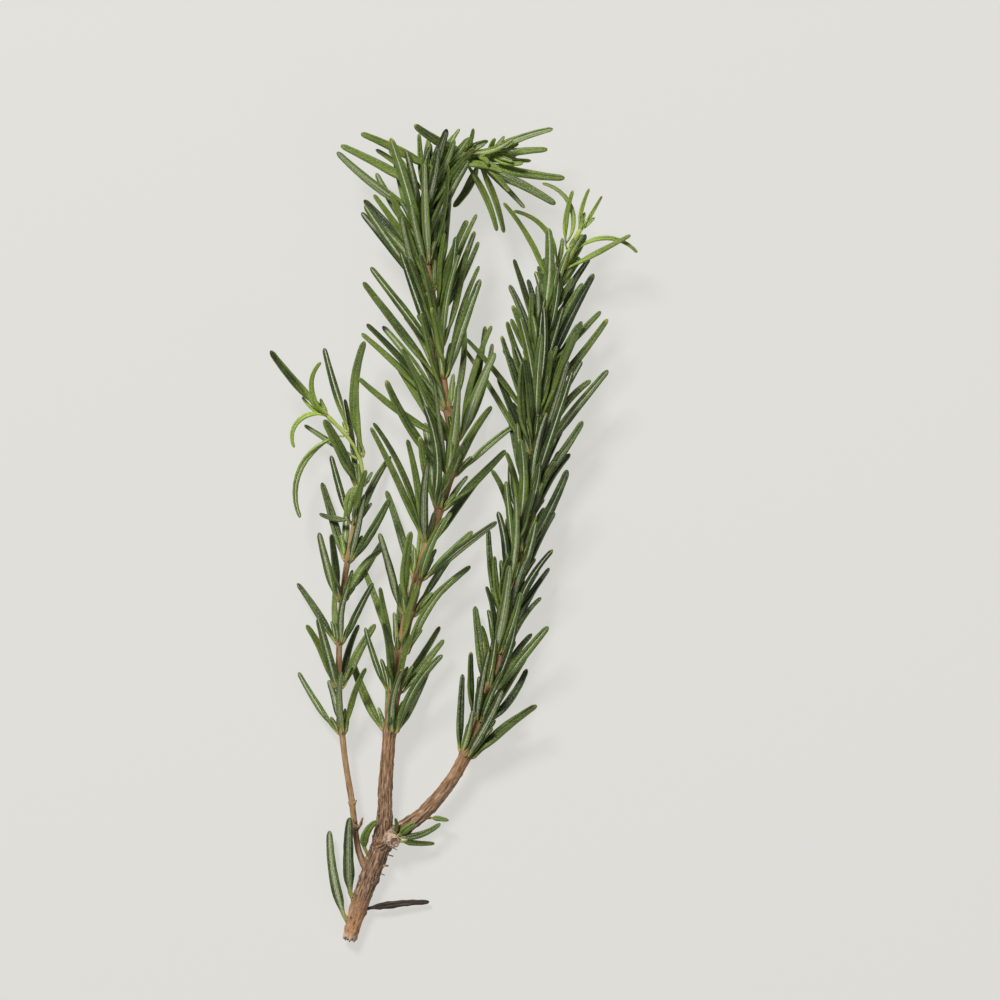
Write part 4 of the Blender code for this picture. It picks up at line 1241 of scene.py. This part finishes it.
def build_foliage(shoot, whorl, finish, chance):
    tones = shoot.tones
    leaves = [dressed(leaf, tones, chance, foot=foot_of(whorl, leaf)) for leaf in whorl.leaves]
    leaves += [dressed(leaf, tones, chance) for leaf in small_leaves(shoot, whorl, chance)]
    name = whorl.node.replace("leaves", "foliage")
    build_leaves(name, leaves, finish, chance, whorl.node)


def build_lone_leaf(node, leaf, finish, chance):
    """A leaf on bare wood, with its foot on the stem where the leaf points to."""
    start, after = leaf.line[:2]
    foot = nearest_wood(start - (after - start).normalized() * FOOT_LEAD)
    leaf = dressed(leaf, MAIN.tones, chance, foot=foot, **LONE_LOOKS[node])
    build_leaves(f"{node}_blade", [leaf], finish, chance, node)


# The detailed stem: tubes joined by a remesh, then shaped by their bark.

VOXEL = 0.2
SMOOTHING = 0.5
SMOOTHING_ROUNDS = 4
TUBE_STEP = 0.8
TUBE_SIDES = 24
CONE_SIDES = 8
CONE_TOP = 0.35  # a cone's radius at its blunt tip, against its foot's
FOOT_DEPTH = 0.8  # how far out in the wood a lone leaf starts, as a share of its radius

# How far the growing tip of a stem goes on past its last whorl into the bud, and its radius there
# as a share of the stem's.
GROWING_TIP = ((0.5, 1.0), (1.0, 0.95), (1.5, 0.75), (2.0, 0.35))

# The swelling at each whorl, as a share of the radius, and how far along the stem it goes.
NODE_SWELL = 0.18
NODE_LENGTH = 0.9
NODE_REACH = 3.0  # in node lengths

# The cut end.
CUT_DEPTH = 1.4  # how far from the end its fringe is ragged
JAGGEDNESS = 0.9  # how far splinters stick out there
SPLINTERS = 2.4  # how fine they are
SPLINTER_PLANE = 5.0  # where their noise is read
CUT_FACING = (0.2, 0.7)  # how far the surface turns to face along the stem where it is cut wood

# The stub of the cut branch.
KNOB_RINGS = 0.62  # how far apart its growth rings are
KNOB_RELIEF = 0.11  # how far they stand out
KNOB_LEAN = 0.1  # how far they drift across it
KNOB_HOLLOW = 0.7  # how deep its middle is
KNOB_HOLLOW_REACH = 0.9
KNOB_WARP = 0.5  # how far the rings wander
KNOB_WARP_STEPS = (1.3, 1.1)  # and how often, across the stub and along it
KNOB_FACING = (0.4, 0.9)  # how far the surface turns to face along the stub on its end
KNOB_BARK = (0.9, 0.4)  # how rough it is round its side and on its end

TAN_BARK = (4.0, 11.0)  # the bark of the cut end is worn to an orange tan as far as this
FRAYED_END = (0.4, 1.7)  # and is frayed to pale wood as far as this

# The noises that bark is made of: how often each repeats across the stem and along it, and where
# it starts across the stem.
FIBRES = (2.6, 0.26, (0.0, 0.0))
STRANDS = (5.5, 0.5, (7.0, 0.0))
FLAKES = (1.6, 0.9, (0.0, 3.0))
RIBS = (3.4, 0.15, (0.0, 0.0))
FIBRE_HEIGHT = 0.3
STRAND_DEPTH = 0.24
FLAKE_HEIGHT = 0.3
RIB_HEIGHT = 0.07

# Cones on the stem: fibres that stand out of the bark, and the spurs of the twig.  Each is its
# foot, its tip, and its radius at the foot.
CONES = (
    ((-13.9, -63.2, 3.6), (-11.6, -64.3, 4.0), 0.16),
    ((-13.9, -64.4, 4.2), (-12.1, -63.7, 4.9), 0.13),
    ((-14.2, -65.2, 3.0), (-12.5, -65.6, 3.3), 0.12),
    ((-15.3, -67.6, 3.4), (-13.5, -67.5, 4.1), 0.14),
    ((-15.6, -69.0, 2.8), (-14.2, -69.5, 3.0), 0.11),
    ((-19.9, -60.2, 3.6), (-18.9, -58.9, 4.6), 0.5),
    ((-19.0, -59.0, 4.5), (-18.6, -57.8, 4.9), 0.3),
    ((-20.0, -58.9, 3.7), (-20.6, -57.9, 4.4), 0.45),
    ((-20.7, -55.6, 3.8), (-21.5, -54.6, 4.5), 0.45),
    ((-20.5, -55.2, 3.9), (-19.9, -54.2, 4.6), 0.4),
)


def find_on_stem(point):
    """(shoot, distance along it, offset from its centre line, direction there) of a point."""
    found = [(*shoot.nearest_frame(point), shoot) for shoot in SHOOTS]
    _, index, shoot = min(found, key=lambda entry: entry[0])
    centre, direction = shoot.frames[index]
    offset = point - centre
    step = offset.dot(direction)
    return shoot, index * TRACE_STEP + step, offset - direction * step, direction


def nearest_wood(point):
    """A point just inside the surface of the stem that is nearest to a point."""
    shoot, distance, offset, _ = find_on_stem(point)
    radius = shoot.detailed_radius(distance)
    return point - offset + offset.normalized() * radius * FOOT_DEPTH


def stem_tubes():
    """A closed tube along each stem, as one mesh."""
    points = []
    faces = []
    for shoot in SHOOTS:
        route = shoot.curve
        count = round(route.length / TUBE_STEP)
        stations = []
        for distance in (route.length * i / count for i in range(count + 1)):
            stations.append((*route.at(distance), shoot.detailed_radius(distance)))
        if shoot.bud_leaves:
            end, direction, radius = stations[-1]
            for past, share in GROWING_TIP:
                stations.append((end + direction * past, direction, radius * share))
        tube_points, tube_faces = tube_shape(stations, TUBE_SIDES)
        far_end = range(len(tube_points) - TUBE_SIDES, len(tube_points))
        for face in (*tube_faces, reversed(range(TUBE_SIDES)), far_end):
            faces.append([len(points) + corner for corner in face])
        points += tube_points
    return mesh_of("forked_stem", points, faces)


def cone_into(shape, foot, tip, radius):
    """A cone that stands on the stem."""
    foot, tip = Vector(foot), Vector(tip)
    made = bmesh.ops.create_cone(
        shape,
        cap_ends=True,
        segments=CONE_SIDES,
        radius1=radius * METRES,
        radius2=CONE_TOP * radius * METRES,
        depth=(tip - foot).length * METRES,
    )
    turn = (tip - foot).to_track_quat("Z", "Y")
    bmesh.ops.rotate(shape, verts=made["verts"], matrix=turn.to_matrix())
    bmesh.ops.translate(shape, verts=made["verts"], vec=(0.5 * (foot + tip) - CENTRE) * METRES)


def remeshed(name, mesh):
    """One even closed surface over shapes that overlap."""
    rough = new_object(name, mesh)
    remesh = rough.modifiers.new("even", "REMESH")
    remesh.mode = "VOXEL"
    remesh.voxel_size = VOXEL * METRES
    smooth = rough.modifiers.new("smooth", "SMOOTH")
    smooth.factor = SMOOTHING
    smooth.iterations = SMOOTHING_ROUNDS
    bpy.context.view_layer.update()
    evaluated = rough.evaluated_get(bpy.context.evaluated_depsgraph_get())
    made = bpy.data.meshes.new_from_object(evaluated)
    bpy.data.objects.remove(rough, do_unlink=True)
    return made


def bark_noise(place, across, along, start):
    x, y, distance = place
    return noise.noise(Vector((x * across + start[0], y * across + start[1], distance * along)))


def bark_lift(place, wood):
    """How far bark stands out: fibrous ridges and flakes on wood, fine ribs above."""
    fibres = FIBRE_HEIGHT * abs(bark_noise(place, *FIBRES))
    strands = STRAND_DEPTH * abs(bark_noise(place, *STRANDS))
    flakes = FLAKE_HEIGHT * max(0.0, bark_noise(place, *FLAKES))
    ribs = RIB_HEIGHT * bark_noise(place, *RIBS)
    return mixed(ribs, fibres - strands + flakes, wood)


def node_lift(shoot, distance, radius):
    """The swelling at each whorl."""
    gaps = [(distance - whorl.distance) / NODE_LENGTH for whorl in shoot.whorls]
    near = [gap for gap in gaps if abs(gap) < NODE_REACH]
    return sum(NODE_SWELL * math.exp(-gap * gap) * radius for gap in near)


def knob_point(point, normal, direction, place):
    """The stub of the cut branch, with its growth rings, bark and hollow middle."""
    x, y, distance = place
    across, along = KNOB_WARP_STEPS
    warp = noise.noise(Vector((x * across, y * across, distance * along)))
    from_middle = math.hypot(x, y) + KNOB_WARP * warp
    face = smoothstep(*KNOB_FACING, normal.dot(direction))
    rings = math.sin(2 * math.pi * (from_middle / KNOB_RINGS + KNOB_LEAN * x))
    rolls = math.sin(math.pi * distance / KNOB_RINGS)
    relief = KNOB_RELIEF * mixed(rolls, rings, face)
    hollow = KNOB_HOLLOW * (1.0 - smoothstep(0.0, KNOB_HOLLOW_REACH, from_middle))
    fibres = bark_lift(place, 1.0) * mixed(*KNOB_BARK, face)
    return point + normal * (relief + fibres) - direction * (hollow * face)


def shaped_point(shoot, point, normal, place, wood):
    """Where bark, nodes and the cut ends move a point of the stem, and how much of it is cut."""
    distance = place[2]
    direction = shoot.curve.at(distance)[1]
    if shoot is KNOB:
        return knob_point(point, normal, direction, place), 1.0
    if shoot is MAIN and distance < CUT_DEPTH:
        cut = smoothstep(*CUT_FACING, -normal.dot(direction))
        x, y = place[0] * SPLINTERS, place[1] * SPLINTERS
        splinters = noise.noise(Vector((x, y, SPLINTER_PLANE)))
        fringe = max(1.0 - distance / CUT_DEPTH, 0.0)
        point = point - direction * (JAGGEDNESS * splinters * fringe)
        return point + normal * bark_lift(place, wood) * (1.0 - cut), cut
    swelling = node_lift(shoot, distance, shoot.detailed_radius(distance))
    return point + normal * (bark_lift(place, wood) + swelling), 0.0


def build_stem(finish):
    """The forked stem, with its bark, nodes, cut ends and spurs."""
    mesh = remeshed("forked_stem", stem_tubes())
    whole = bmesh.new()
    whole.from_mesh(mesh)
    for cone in CONES:
        cone_into(whole, *cone)
    whole.to_mesh(mesh)
    whole.free()

    readings = {"bark_place": [], "bark_kind": [], "bark_wear": []}
    moved = []
    for vertex in mesh.vertices:
        point = vertex.co / METRES + CENTRE
        shoot, distance, offset, direction = find_on_stem(point)
        side, above = axes_across(direction)
        place = (offset.dot(side), offset.dot(above), distance)
        wood = 1.0 - smoothstep(*shoot.rough_bark, distance)
        shaped, cut = shaped_point(shoot, point, vertex.normal.copy(), place, wood)
        moved.append(shaped)
        from_cut = distance if shoot is MAIN else math.inf
        worn = 1.0 - smoothstep(*TAN_BARK, from_cut)
        frayed = 1.0 - smoothstep(*FRAYED_END, from_cut)
        readings["bark_place"].append(place)
        readings["bark_kind"].append((wood, shoot.youth_at(distance), cut))
        readings["bark_wear"].append((worn, frayed, 1.0 if shoot is TWIG else 0.0))
    for vertex, point in zip(mesh.vertices, moved):
        vertex.co = (point - CENTRE) * METRES
    add_readings(mesh, readings)
    add_piece("forked_stem", mesh, finish, "stem")


# Materials.  Colours are sRGB bytes.

UPPER_DARK = (30, 48, 18)
UPPER_LIGHT = (118, 138, 58)
# A lighter green that is a painted highlight along the leaves' margins.
MARGIN_HIGHLIGHT_GREEN = (140, 158, 72)
UPPER_YOUNG = (164, 188, 70)
UNDER_ROLL_DARK = (36, 54, 22)
UNDER_ROLL_LIGHT = (116, 140, 62)
UNDER_FELT = (128, 136, 98)
UNDER_FELT_PALE = (184, 188, 154)
UNDER_RIB = (222, 222, 190)
LEAF_BASE = (176, 172, 100)
LEAF_TIP = (164, 160, 72)
LEAF_DRY = (48, 36, 32)
LEAF_DRY_EDGE = (92, 78, 68)

BARK_DARK = (54, 36, 26)
BARK_MIDDLE = (134, 102, 76)
BARK_LIGHT = (184, 152, 120)
BARK_WORN = (186, 138, 96)
BARK_SMOOTH = (166, 124, 84)
BARK_TWIG = (164, 130, 88)
BARK_YOUNG = (172, 184, 86)
CUT_WOOD = (208, 184, 158)
CUT_RING = (136, 102, 78)

FLOOR_COLOUR = (104, 103, 101)
FLOOR_LIGHT = (221, 220, 215)

# Noises: how often each repeats in one unit of the place that it is read at, and its detail.
PATCHES = (240.0, 2.0)
PEBBLES = (2400.0, 2.0)
STREAKS = (2.4, 3.0)
STREAK_MAP = (3.2, 2.0, 40.0)  # the streaks' units across a leaf, along it, and by its tone
FIBRE_NOISE = (3.4, 6.0)
FLAKE_NOISE = (1.7, 4.0)
GRAIN_NOISE = (5200.0, 3.0)
WARP_NOISE = (0.9, 2.0)
FIBRE_STRETCH = 0.12  # how fast fibres and flakes change along the stem, against across it
FLAKE_STRETCH = 0.45

# What makes a leaf lighter: its tone, patches, streaks and pebbles, and the range of their sum.
SHADE_WEIGHTS = (0.5, 0.6, 0.3, 0.6)
SHADE_RANGE = (0.54, 1.42)

# Markings of a leaf: where each begins and is full on what it follows, and its greatest share.
# The margins' lighter green is a painted highlight.
MARGIN_HIGHLIGHT_REACH = (0.5, 0.95, 0.4)
# The pale line over the midrib is a painted highlight in the groove.
GROOVE_HIGHLIGHT_LINE = (0.02, 0.13, 0.22)
FELT_AREA = (ROLL + 0.35, FELT - 0.1)
FELT_SPECKLES = (0.38, 0.66, 0.6)
FELT_YOUTH = 0.6
RIB_AREA = (FELT + 0.3, MIDRIB - 0.1)
RIB_STRENGTHS = (0.35, 0.55)  # on any leaf, and how much more on the palest
PALE_BASE = (0.0, 0.13, 0.75)
YELLOW_END = (0.97, 1.02)
DRY_END = (0.93, 1.0)
RAGGEDNESS = 0.04  # how far patches move the edge of a yellow or dry tip
DRY_STREAKS = (0.4, 0.7)

# How rough a leaf is, and how much felt or dryness adds to that, and pebbles.
LEAF_ROUGHNESS = (0.3, 0.45, 0.2)
LEAF_BUMP = (0.8, 0.0002)  # the strength of the relief, and its height in metres
LEAF_BUMP_STREAKS = 0.4
LEAF_DEPTH = {
    "Subsurface Weight": 0.1,
    "Subsurface Radius": (0.5, 1.0, 0.2),
    "Subsurface Scale": 0.0005,
}

# Markings of the bark, as those of a leaf.
FURROWS = (0.34, 0.52)
RIDGES = (0.5, 0.68)
WORN_FLAKES = (0.3, 0.5)
PALE_FLAKES = (0.58, 0.7, 0.6)
SMOOTH_RIDGES = (0.48, 0.7)
SMOOTH_FURROWS = (0.3, 0.44, 0.7)
FRAYED_FIBRES = (0.35, 0.55)
DARK_GRAIN = (0.55, 0.8, 0.3)

# The growth rings of cut wood: how strong they are, how far they lean along the stem and wander,
# and the range that goes from dark to pale.
RING_STRENGTH = 0.3
RING_LEAN = 0.5
RING_WARP = 0.8
RING_RANGE = (0.1, 0.9)

BARK_ROUGHNESS = 0.85
YOUNG_GLOSS = -0.35
BARK_BUMP = (0.6, 0.00025)
BARK_BUMP_GRAIN = 0.4
SMOOTH_BUMP = 0.3  # how strong the relief is where the bark is smooth

FLOOR_ROUGHNESS = 0.9
FLOOR_GLOW = 0.81


def rgba(colour):
    linear = Color([channel / 255 for channel in colour]).from_srgb_to_scene_linear()
    return (*linear, 1.0)


def is_socket(value):
    return isinstance(value, bpy.types.NodeSocket)


class Shading:
    """A material's nodes, made by short calls that return sockets."""

    def __init__(self, name):
        self.finish = bpy.data.materials.new(name)
        self.finish.use_nodes = True
        self.tree = self.finish.node_tree

    def fill(self, node, inputs):
        for socket, value in inputs.items():
            if is_socket(value):
                self.tree.links.new(value, node.inputs[socket])
            else:
                node.inputs[socket].default_value = value

    def surface(self, inputs):
        """The finished material, with these inputs of its surface filled."""
        self.fill(self.tree.nodes["Principled BSDF"], inputs)
        return self.finish

    def node(self, kind, inputs, **settings):
        made = self.tree.nodes.new(kind)
        for setting, value in settings.items():
            setattr(made, setting, value)
        self.fill(made, inputs)
        return made

    def math(self, operation, *values):
        return self.node("ShaderNodeMath", dict(enumerate(values)), operation=operation).outputs[0]

    def times(self, first, second):
        return self.math("MULTIPLY", first, second)

    def mix(self, share, first, second):
        """A colour between two, each one a socket or sRGB bytes."""
        first, second = (end if is_socket(end) else rgba(end) for end in (first, second))
        inputs = {0: share, 6: first, 7: second}
        return self.node("ShaderNodeMix", inputs, data_type="RGBA").outputs[2]

    def total(self, whole, *parts):
        """A number and the sum of values, each times its weight."""
        for value, weight in parts:
            whole = self.math("MULTIPLY_ADD", value, weight, whole)
        return whole

    def rise(self, value, low, high, most=1.0):
        """0 below low and the most above high, smoothly."""
        inputs = {"Value": value, "From Min": low, "From Max": high, "To Max": most}
        made = self.node("ShaderNodeMapRange", inputs, interpolation_type="SMOOTHSTEP")
        return made.outputs[0]

    def fall(self, value, low, high, most=1.0):
        """The most below low and 0 above high, smoothly."""
        return self.math("SUBTRACT", most, self.rise(value, low, high, most))

    def parts(self, attribute):
        read = self.node("ShaderNodeAttribute", {}, attribute_name=attribute)
        split = self.node("ShaderNodeSeparateXYZ", {0: read.outputs["Vector"]})
        return split.outputs[0], split.outputs[1], split.outputs[2]

    def vector(self, x, y, z):
        return self.node("ShaderNodeCombineXYZ", {0: x, 1: y, 2: z}).outputs[0]

    def noise(self, vector, scale, detail):
        inputs = {"Vector": vector, "Scale": scale, "Detail": detail}
        return self.node("ShaderNodeTexNoise", inputs).outputs[0]

    def position(self):
        return self.node("ShaderNodeTexCoord", {}).outputs["Object"]

    def bump(self, height, strength, distance):
        inputs = {"Height": height, "Strength": strength, "Distance": distance}
        return self.node("ShaderNodeBump", inputs).outputs[0]


def upper_colour(made, shade, youth, off_middle):
    """The green upper face, with painted highlights: lighter at its margins, and a fine pale line
    over the midrib.
    """
    green = made.mix(made.rise(shade, *SHADE_RANGE), UPPER_DARK, UPPER_LIGHT)
    # Painted highlight: a lighter green towards the margins.
    green = made.mix(made.rise(off_middle, *MARGIN_HIGHLIGHT_REACH), green, MARGIN_HIGHLIGHT_GREEN)
    # Painted highlight: a fine pale line along the groove over the midrib.
    green = made.mix(made.fall(off_middle, *GROOVE_HIGHLIGHT_LINE), green, LEAF_BASE)
    return made.mix(youth, green, UPPER_YOUNG)


def lower_colour(made, shade, youth, paleness, pebbles, part):
    """Green rolled margins, a speckled felt between them, and a pale midrib."""
    roll = made.mix(made.rise(shade, *SHADE_RANGE), UNDER_ROLL_DARK, UNDER_ROLL_LIGHT)
    roll = made.mix(youth, roll, UPPER_YOUNG)
    felt = made.mix(paleness, UNDER_FELT, UNDER_FELT_PALE)
    felt = made.mix(made.rise(pebbles, *FELT_SPECKLES), felt, roll)
    felt = made.mix(made.times(youth, FELT_YOUTH), felt, UPPER_YOUNG)
    under = made.mix(made.rise(part, *FELT_AREA), roll, felt)
    least, more = RIB_STRENGTHS
    rib = made.rise(part, *RIB_AREA, made.total(least, (paleness, more)))
    return made.mix(rib, under, UNDER_RIB)


def leaf_finish(name):
    """Pebbled satin green above and felt below, with a pale base, and a yellow or a dry tip."""
    made = Shading(name)
    along, across, part = made.parts("leaf_place")
    tone, youth, dryness = made.parts("leaf_kind")
    yellow_tip, dry_tip, paleness = made.parts("leaf_tip")
    patches = made.noise(made.position(), *PATCHES)
    pebbles = made.noise(made.position(), *PEBBLES)
    streak_place = [made.times(*pair) for pair in zip((across, along, tone), STREAK_MAP)]
    streaks = made.noise(made.vector(*streak_place), *STREAKS)
    shade = made.total(0.0, *zip((tone, patches, streaks, pebbles), SHADE_WEIGHTS))

    upper = upper_colour(made, shade, youth, made.math("ABSOLUTE", across))
    lower = lower_colour(made, shade, youth, paleness, pebbles, part)
    colour = made.mix(made.rise(part, MARGIN, ROLL), upper, lower)
    colour = made.mix(made.fall(along, *PALE_BASE), colour, LEAF_BASE)
    ragged = made.total(along, (patches, RAGGEDNESS))
    colour = made.mix(made.rise(ragged, *YELLOW_END, yellow_tip), colour, LEAF_TIP)
    dry = made.math("MAXIMUM", made.rise(ragged, *DRY_END, dry_tip), dryness)
    dry_colour = made.mix(made.rise(streaks, *DRY_STREAKS), LEAF_DRY, LEAF_DRY_EDGE)
    colour = made.mix(dry, colour, dry_colour)

    dull = made.math("MAXIMUM", made.rise(part, *FELT_AREA), dry)
    satin, dullness, pebbling = LEAF_ROUGHNESS
    roughness = made.total(satin, (dull, dullness), (pebbles, pebbling))
    relief = made.bump(made.total(pebbles, (streaks, LEAF_BUMP_STREAKS)), *LEAF_BUMP)
    surface = {"Base Color": colour, "Roughness": roughness, "Normal": relief}
    return made.surface(surface | LEAF_DEPTH)


def cut_colour(made, x, y, distance, grain):
    """Pale wood with darker growth rings."""
    from_middle = made.math("SQRT", made.total(0.0, (x, x), (y, y)))
    warp = made.noise(made.vector(x, y, distance), *WARP_NOISE)
    turns = made.total(from_middle, (distance, RING_LEAN), (warp, RING_WARP))
    wave = made.math("SINE", made.times(turns, 2 * math.pi / KNOB_RINGS))
    rings = made.rise(made.total(grain, (wave, RING_STRENGTH)), *RING_RANGE)
    return made.mix(rings, CUT_RING, CUT_WOOD)


def bark_finish(name):
    """Fibrous brown wood at the base, smoother and then green towards the tips."""
    made = Shading(name)
    x, y, distance = made.parts("bark_place")
    wood, youth, cut = made.parts("bark_kind")
    worn, frayed, twig = made.parts("bark_wear")
    fibre_place = made.vector(x, y, made.times(distance, FIBRE_STRETCH))
    fibres = made.noise(fibre_place, *FIBRE_NOISE)
    flakes = made.noise(made.vector(x, y, made.times(distance, FLAKE_STRETCH)), *FLAKE_NOISE)
    grain = made.noise(made.position(), *GRAIN_NOISE)

    rough = made.mix(made.rise(fibres, *FURROWS), BARK_DARK, BARK_MIDDLE)
    rough = made.mix(made.rise(fibres, *RIDGES), rough, BARK_LIGHT)
    rough = made.mix(made.rise(flakes, *WORN_FLAKES, worn), rough, BARK_WORN)
    rough = made.mix(made.rise(flakes, *PALE_FLAKES), rough, CUT_WOOD)
    smooth = made.mix(twig, BARK_SMOOTH, BARK_TWIG)
    smooth = made.mix(made.rise(fibres, *SMOOTH_RIDGES), smooth, BARK_LIGHT)
    smooth = made.mix(made.fall(fibres, *SMOOTH_FURROWS), smooth, BARK_DARK)
    colour = made.mix(wood, smooth, rough)
    colour = made.mix(youth, colour, BARK_YOUNG)
    colour = made.mix(made.rise(fibres, *FRAYED_FIBRES, frayed), colour, CUT_WOOD)
    colour = made.mix(cut, colour, cut_colour(made, x, y, distance, grain))
    colour = made.mix(made.rise(grain, *DARK_GRAIN), colour, BARK_DARK)

    roughness = made.total(BARK_ROUGHNESS, (youth, YOUNG_GLOSS))
    height = made.total(fibres, (grain, BARK_BUMP_GRAIN))
    height = made.times(height, made.math("ADD", wood, SMOOTH_BUMP))
    relief = made.bump(height, *BARK_BUMP)
    return made.surface({"Base Color": colour, "Roughness": roughness, "Normal": relief})


def floor_finish():
    """A plain pale surface that is lit from below as well, so its shadows stay faint."""
    surface = {
        "Base Color": rgba(FLOOR_COLOUR),
        "Roughness": FLOOR_ROUGHNESS,
        "Emission Color": rgba(FLOOR_LIGHT),
        "Emission Strength": FLOOR_GLOW,
    }
    return Shading("pale_floor").surface(surface)


# Floor, lights and camera, in metres.

FLOOR_SIZE = 6.0

# Each light: its name, its place, its diameter and its watts.
LIGHTS = (("key", (-0.45, 0.85, 1.1), 0.4, 21.5), ("fill", (0.9, -0.5, 1.0), 1.0, 3.0))
SKY_COLOUR = (0.95, 0.97, 1.0, 1.0)
SKY_STRENGTH = 0.19
CAMERA_HEIGHT = 1.1
VIEW_WIDTH = 0.204
VIEW_MIDDLE = Vector((9.3, 6.8, 0.0))  # in the sprig's own coordinates, in millimetres
SENSOR = 36.0


def build_floor():
    shape = bmesh.new()
    bmesh.ops.create_grid(shape, x_segments=1, y_segments=1, size=FLOOR_SIZE / 2)
    mesh = bpy.data.meshes.new("floor")
    shape.to_mesh(mesh)
    shape.free()
    mesh.materials.append(floor_finish())
    floor = new_object("floor", mesh)
    floor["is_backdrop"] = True


def build_light(name, place, size, energy):
    """A round softbox that faces the sprig."""
    lamp = bpy.data.lights.new(name, "AREA")
    lamp.shape = "DISK"
    lamp.size = size
    lamp.energy = energy
    light = new_object(name, lamp)
    light.location = place
    light.rotation_euler = (-Vector(place)).to_track_quat("-Z", "Y").to_euler()


def build_studio():
    build_floor()
    for light in LIGHTS:
        build_light(*light)
    world = bpy.data.worlds.new("studio")
    bpy.context.scene.world = world
    world.use_nodes = True
    sky = world.node_tree.nodes["Background"].inputs
    sky["Color"].default_value = SKY_COLOUR
    sky["Strength"].default_value = SKY_STRENGTH
    bpy.context.scene.view_settings.view_transform = "Standard"


def build_camera():
    """Straight above the sprig, through a long lens."""
    lens = bpy.data.cameras.new("camera")
    lens.sensor_width = SENSOR
    lens.lens = SENSOR * CAMERA_HEIGHT / VIEW_WIDTH
    camera = new_object("camera", lens)
    middle = (VIEW_MIDDLE - CENTRE) * METRES
    camera.location = (middle.x, middle.y, CAMERA_HEIGHT)
    bpy.context.scene.camera = camera


def main():
    chance = random.Random(SEED + 1)
    lone = grow_leaves()
    green = leaf_finish("rosemary_leaf")
    for shoot in SHOOTS:
        for whorl in shoot.whorls:
            build_foliage(shoot, whorl, green, chance)
    for node, leaf in lone.items():
        build_lone_leaf(node, leaf, green, chance)
    build_stem(bark_finish("rosemary_bark"))
    build_studio()
    build_camera()


main()
[[list(corner) for corner in box] for box in (cad_bounds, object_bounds())]
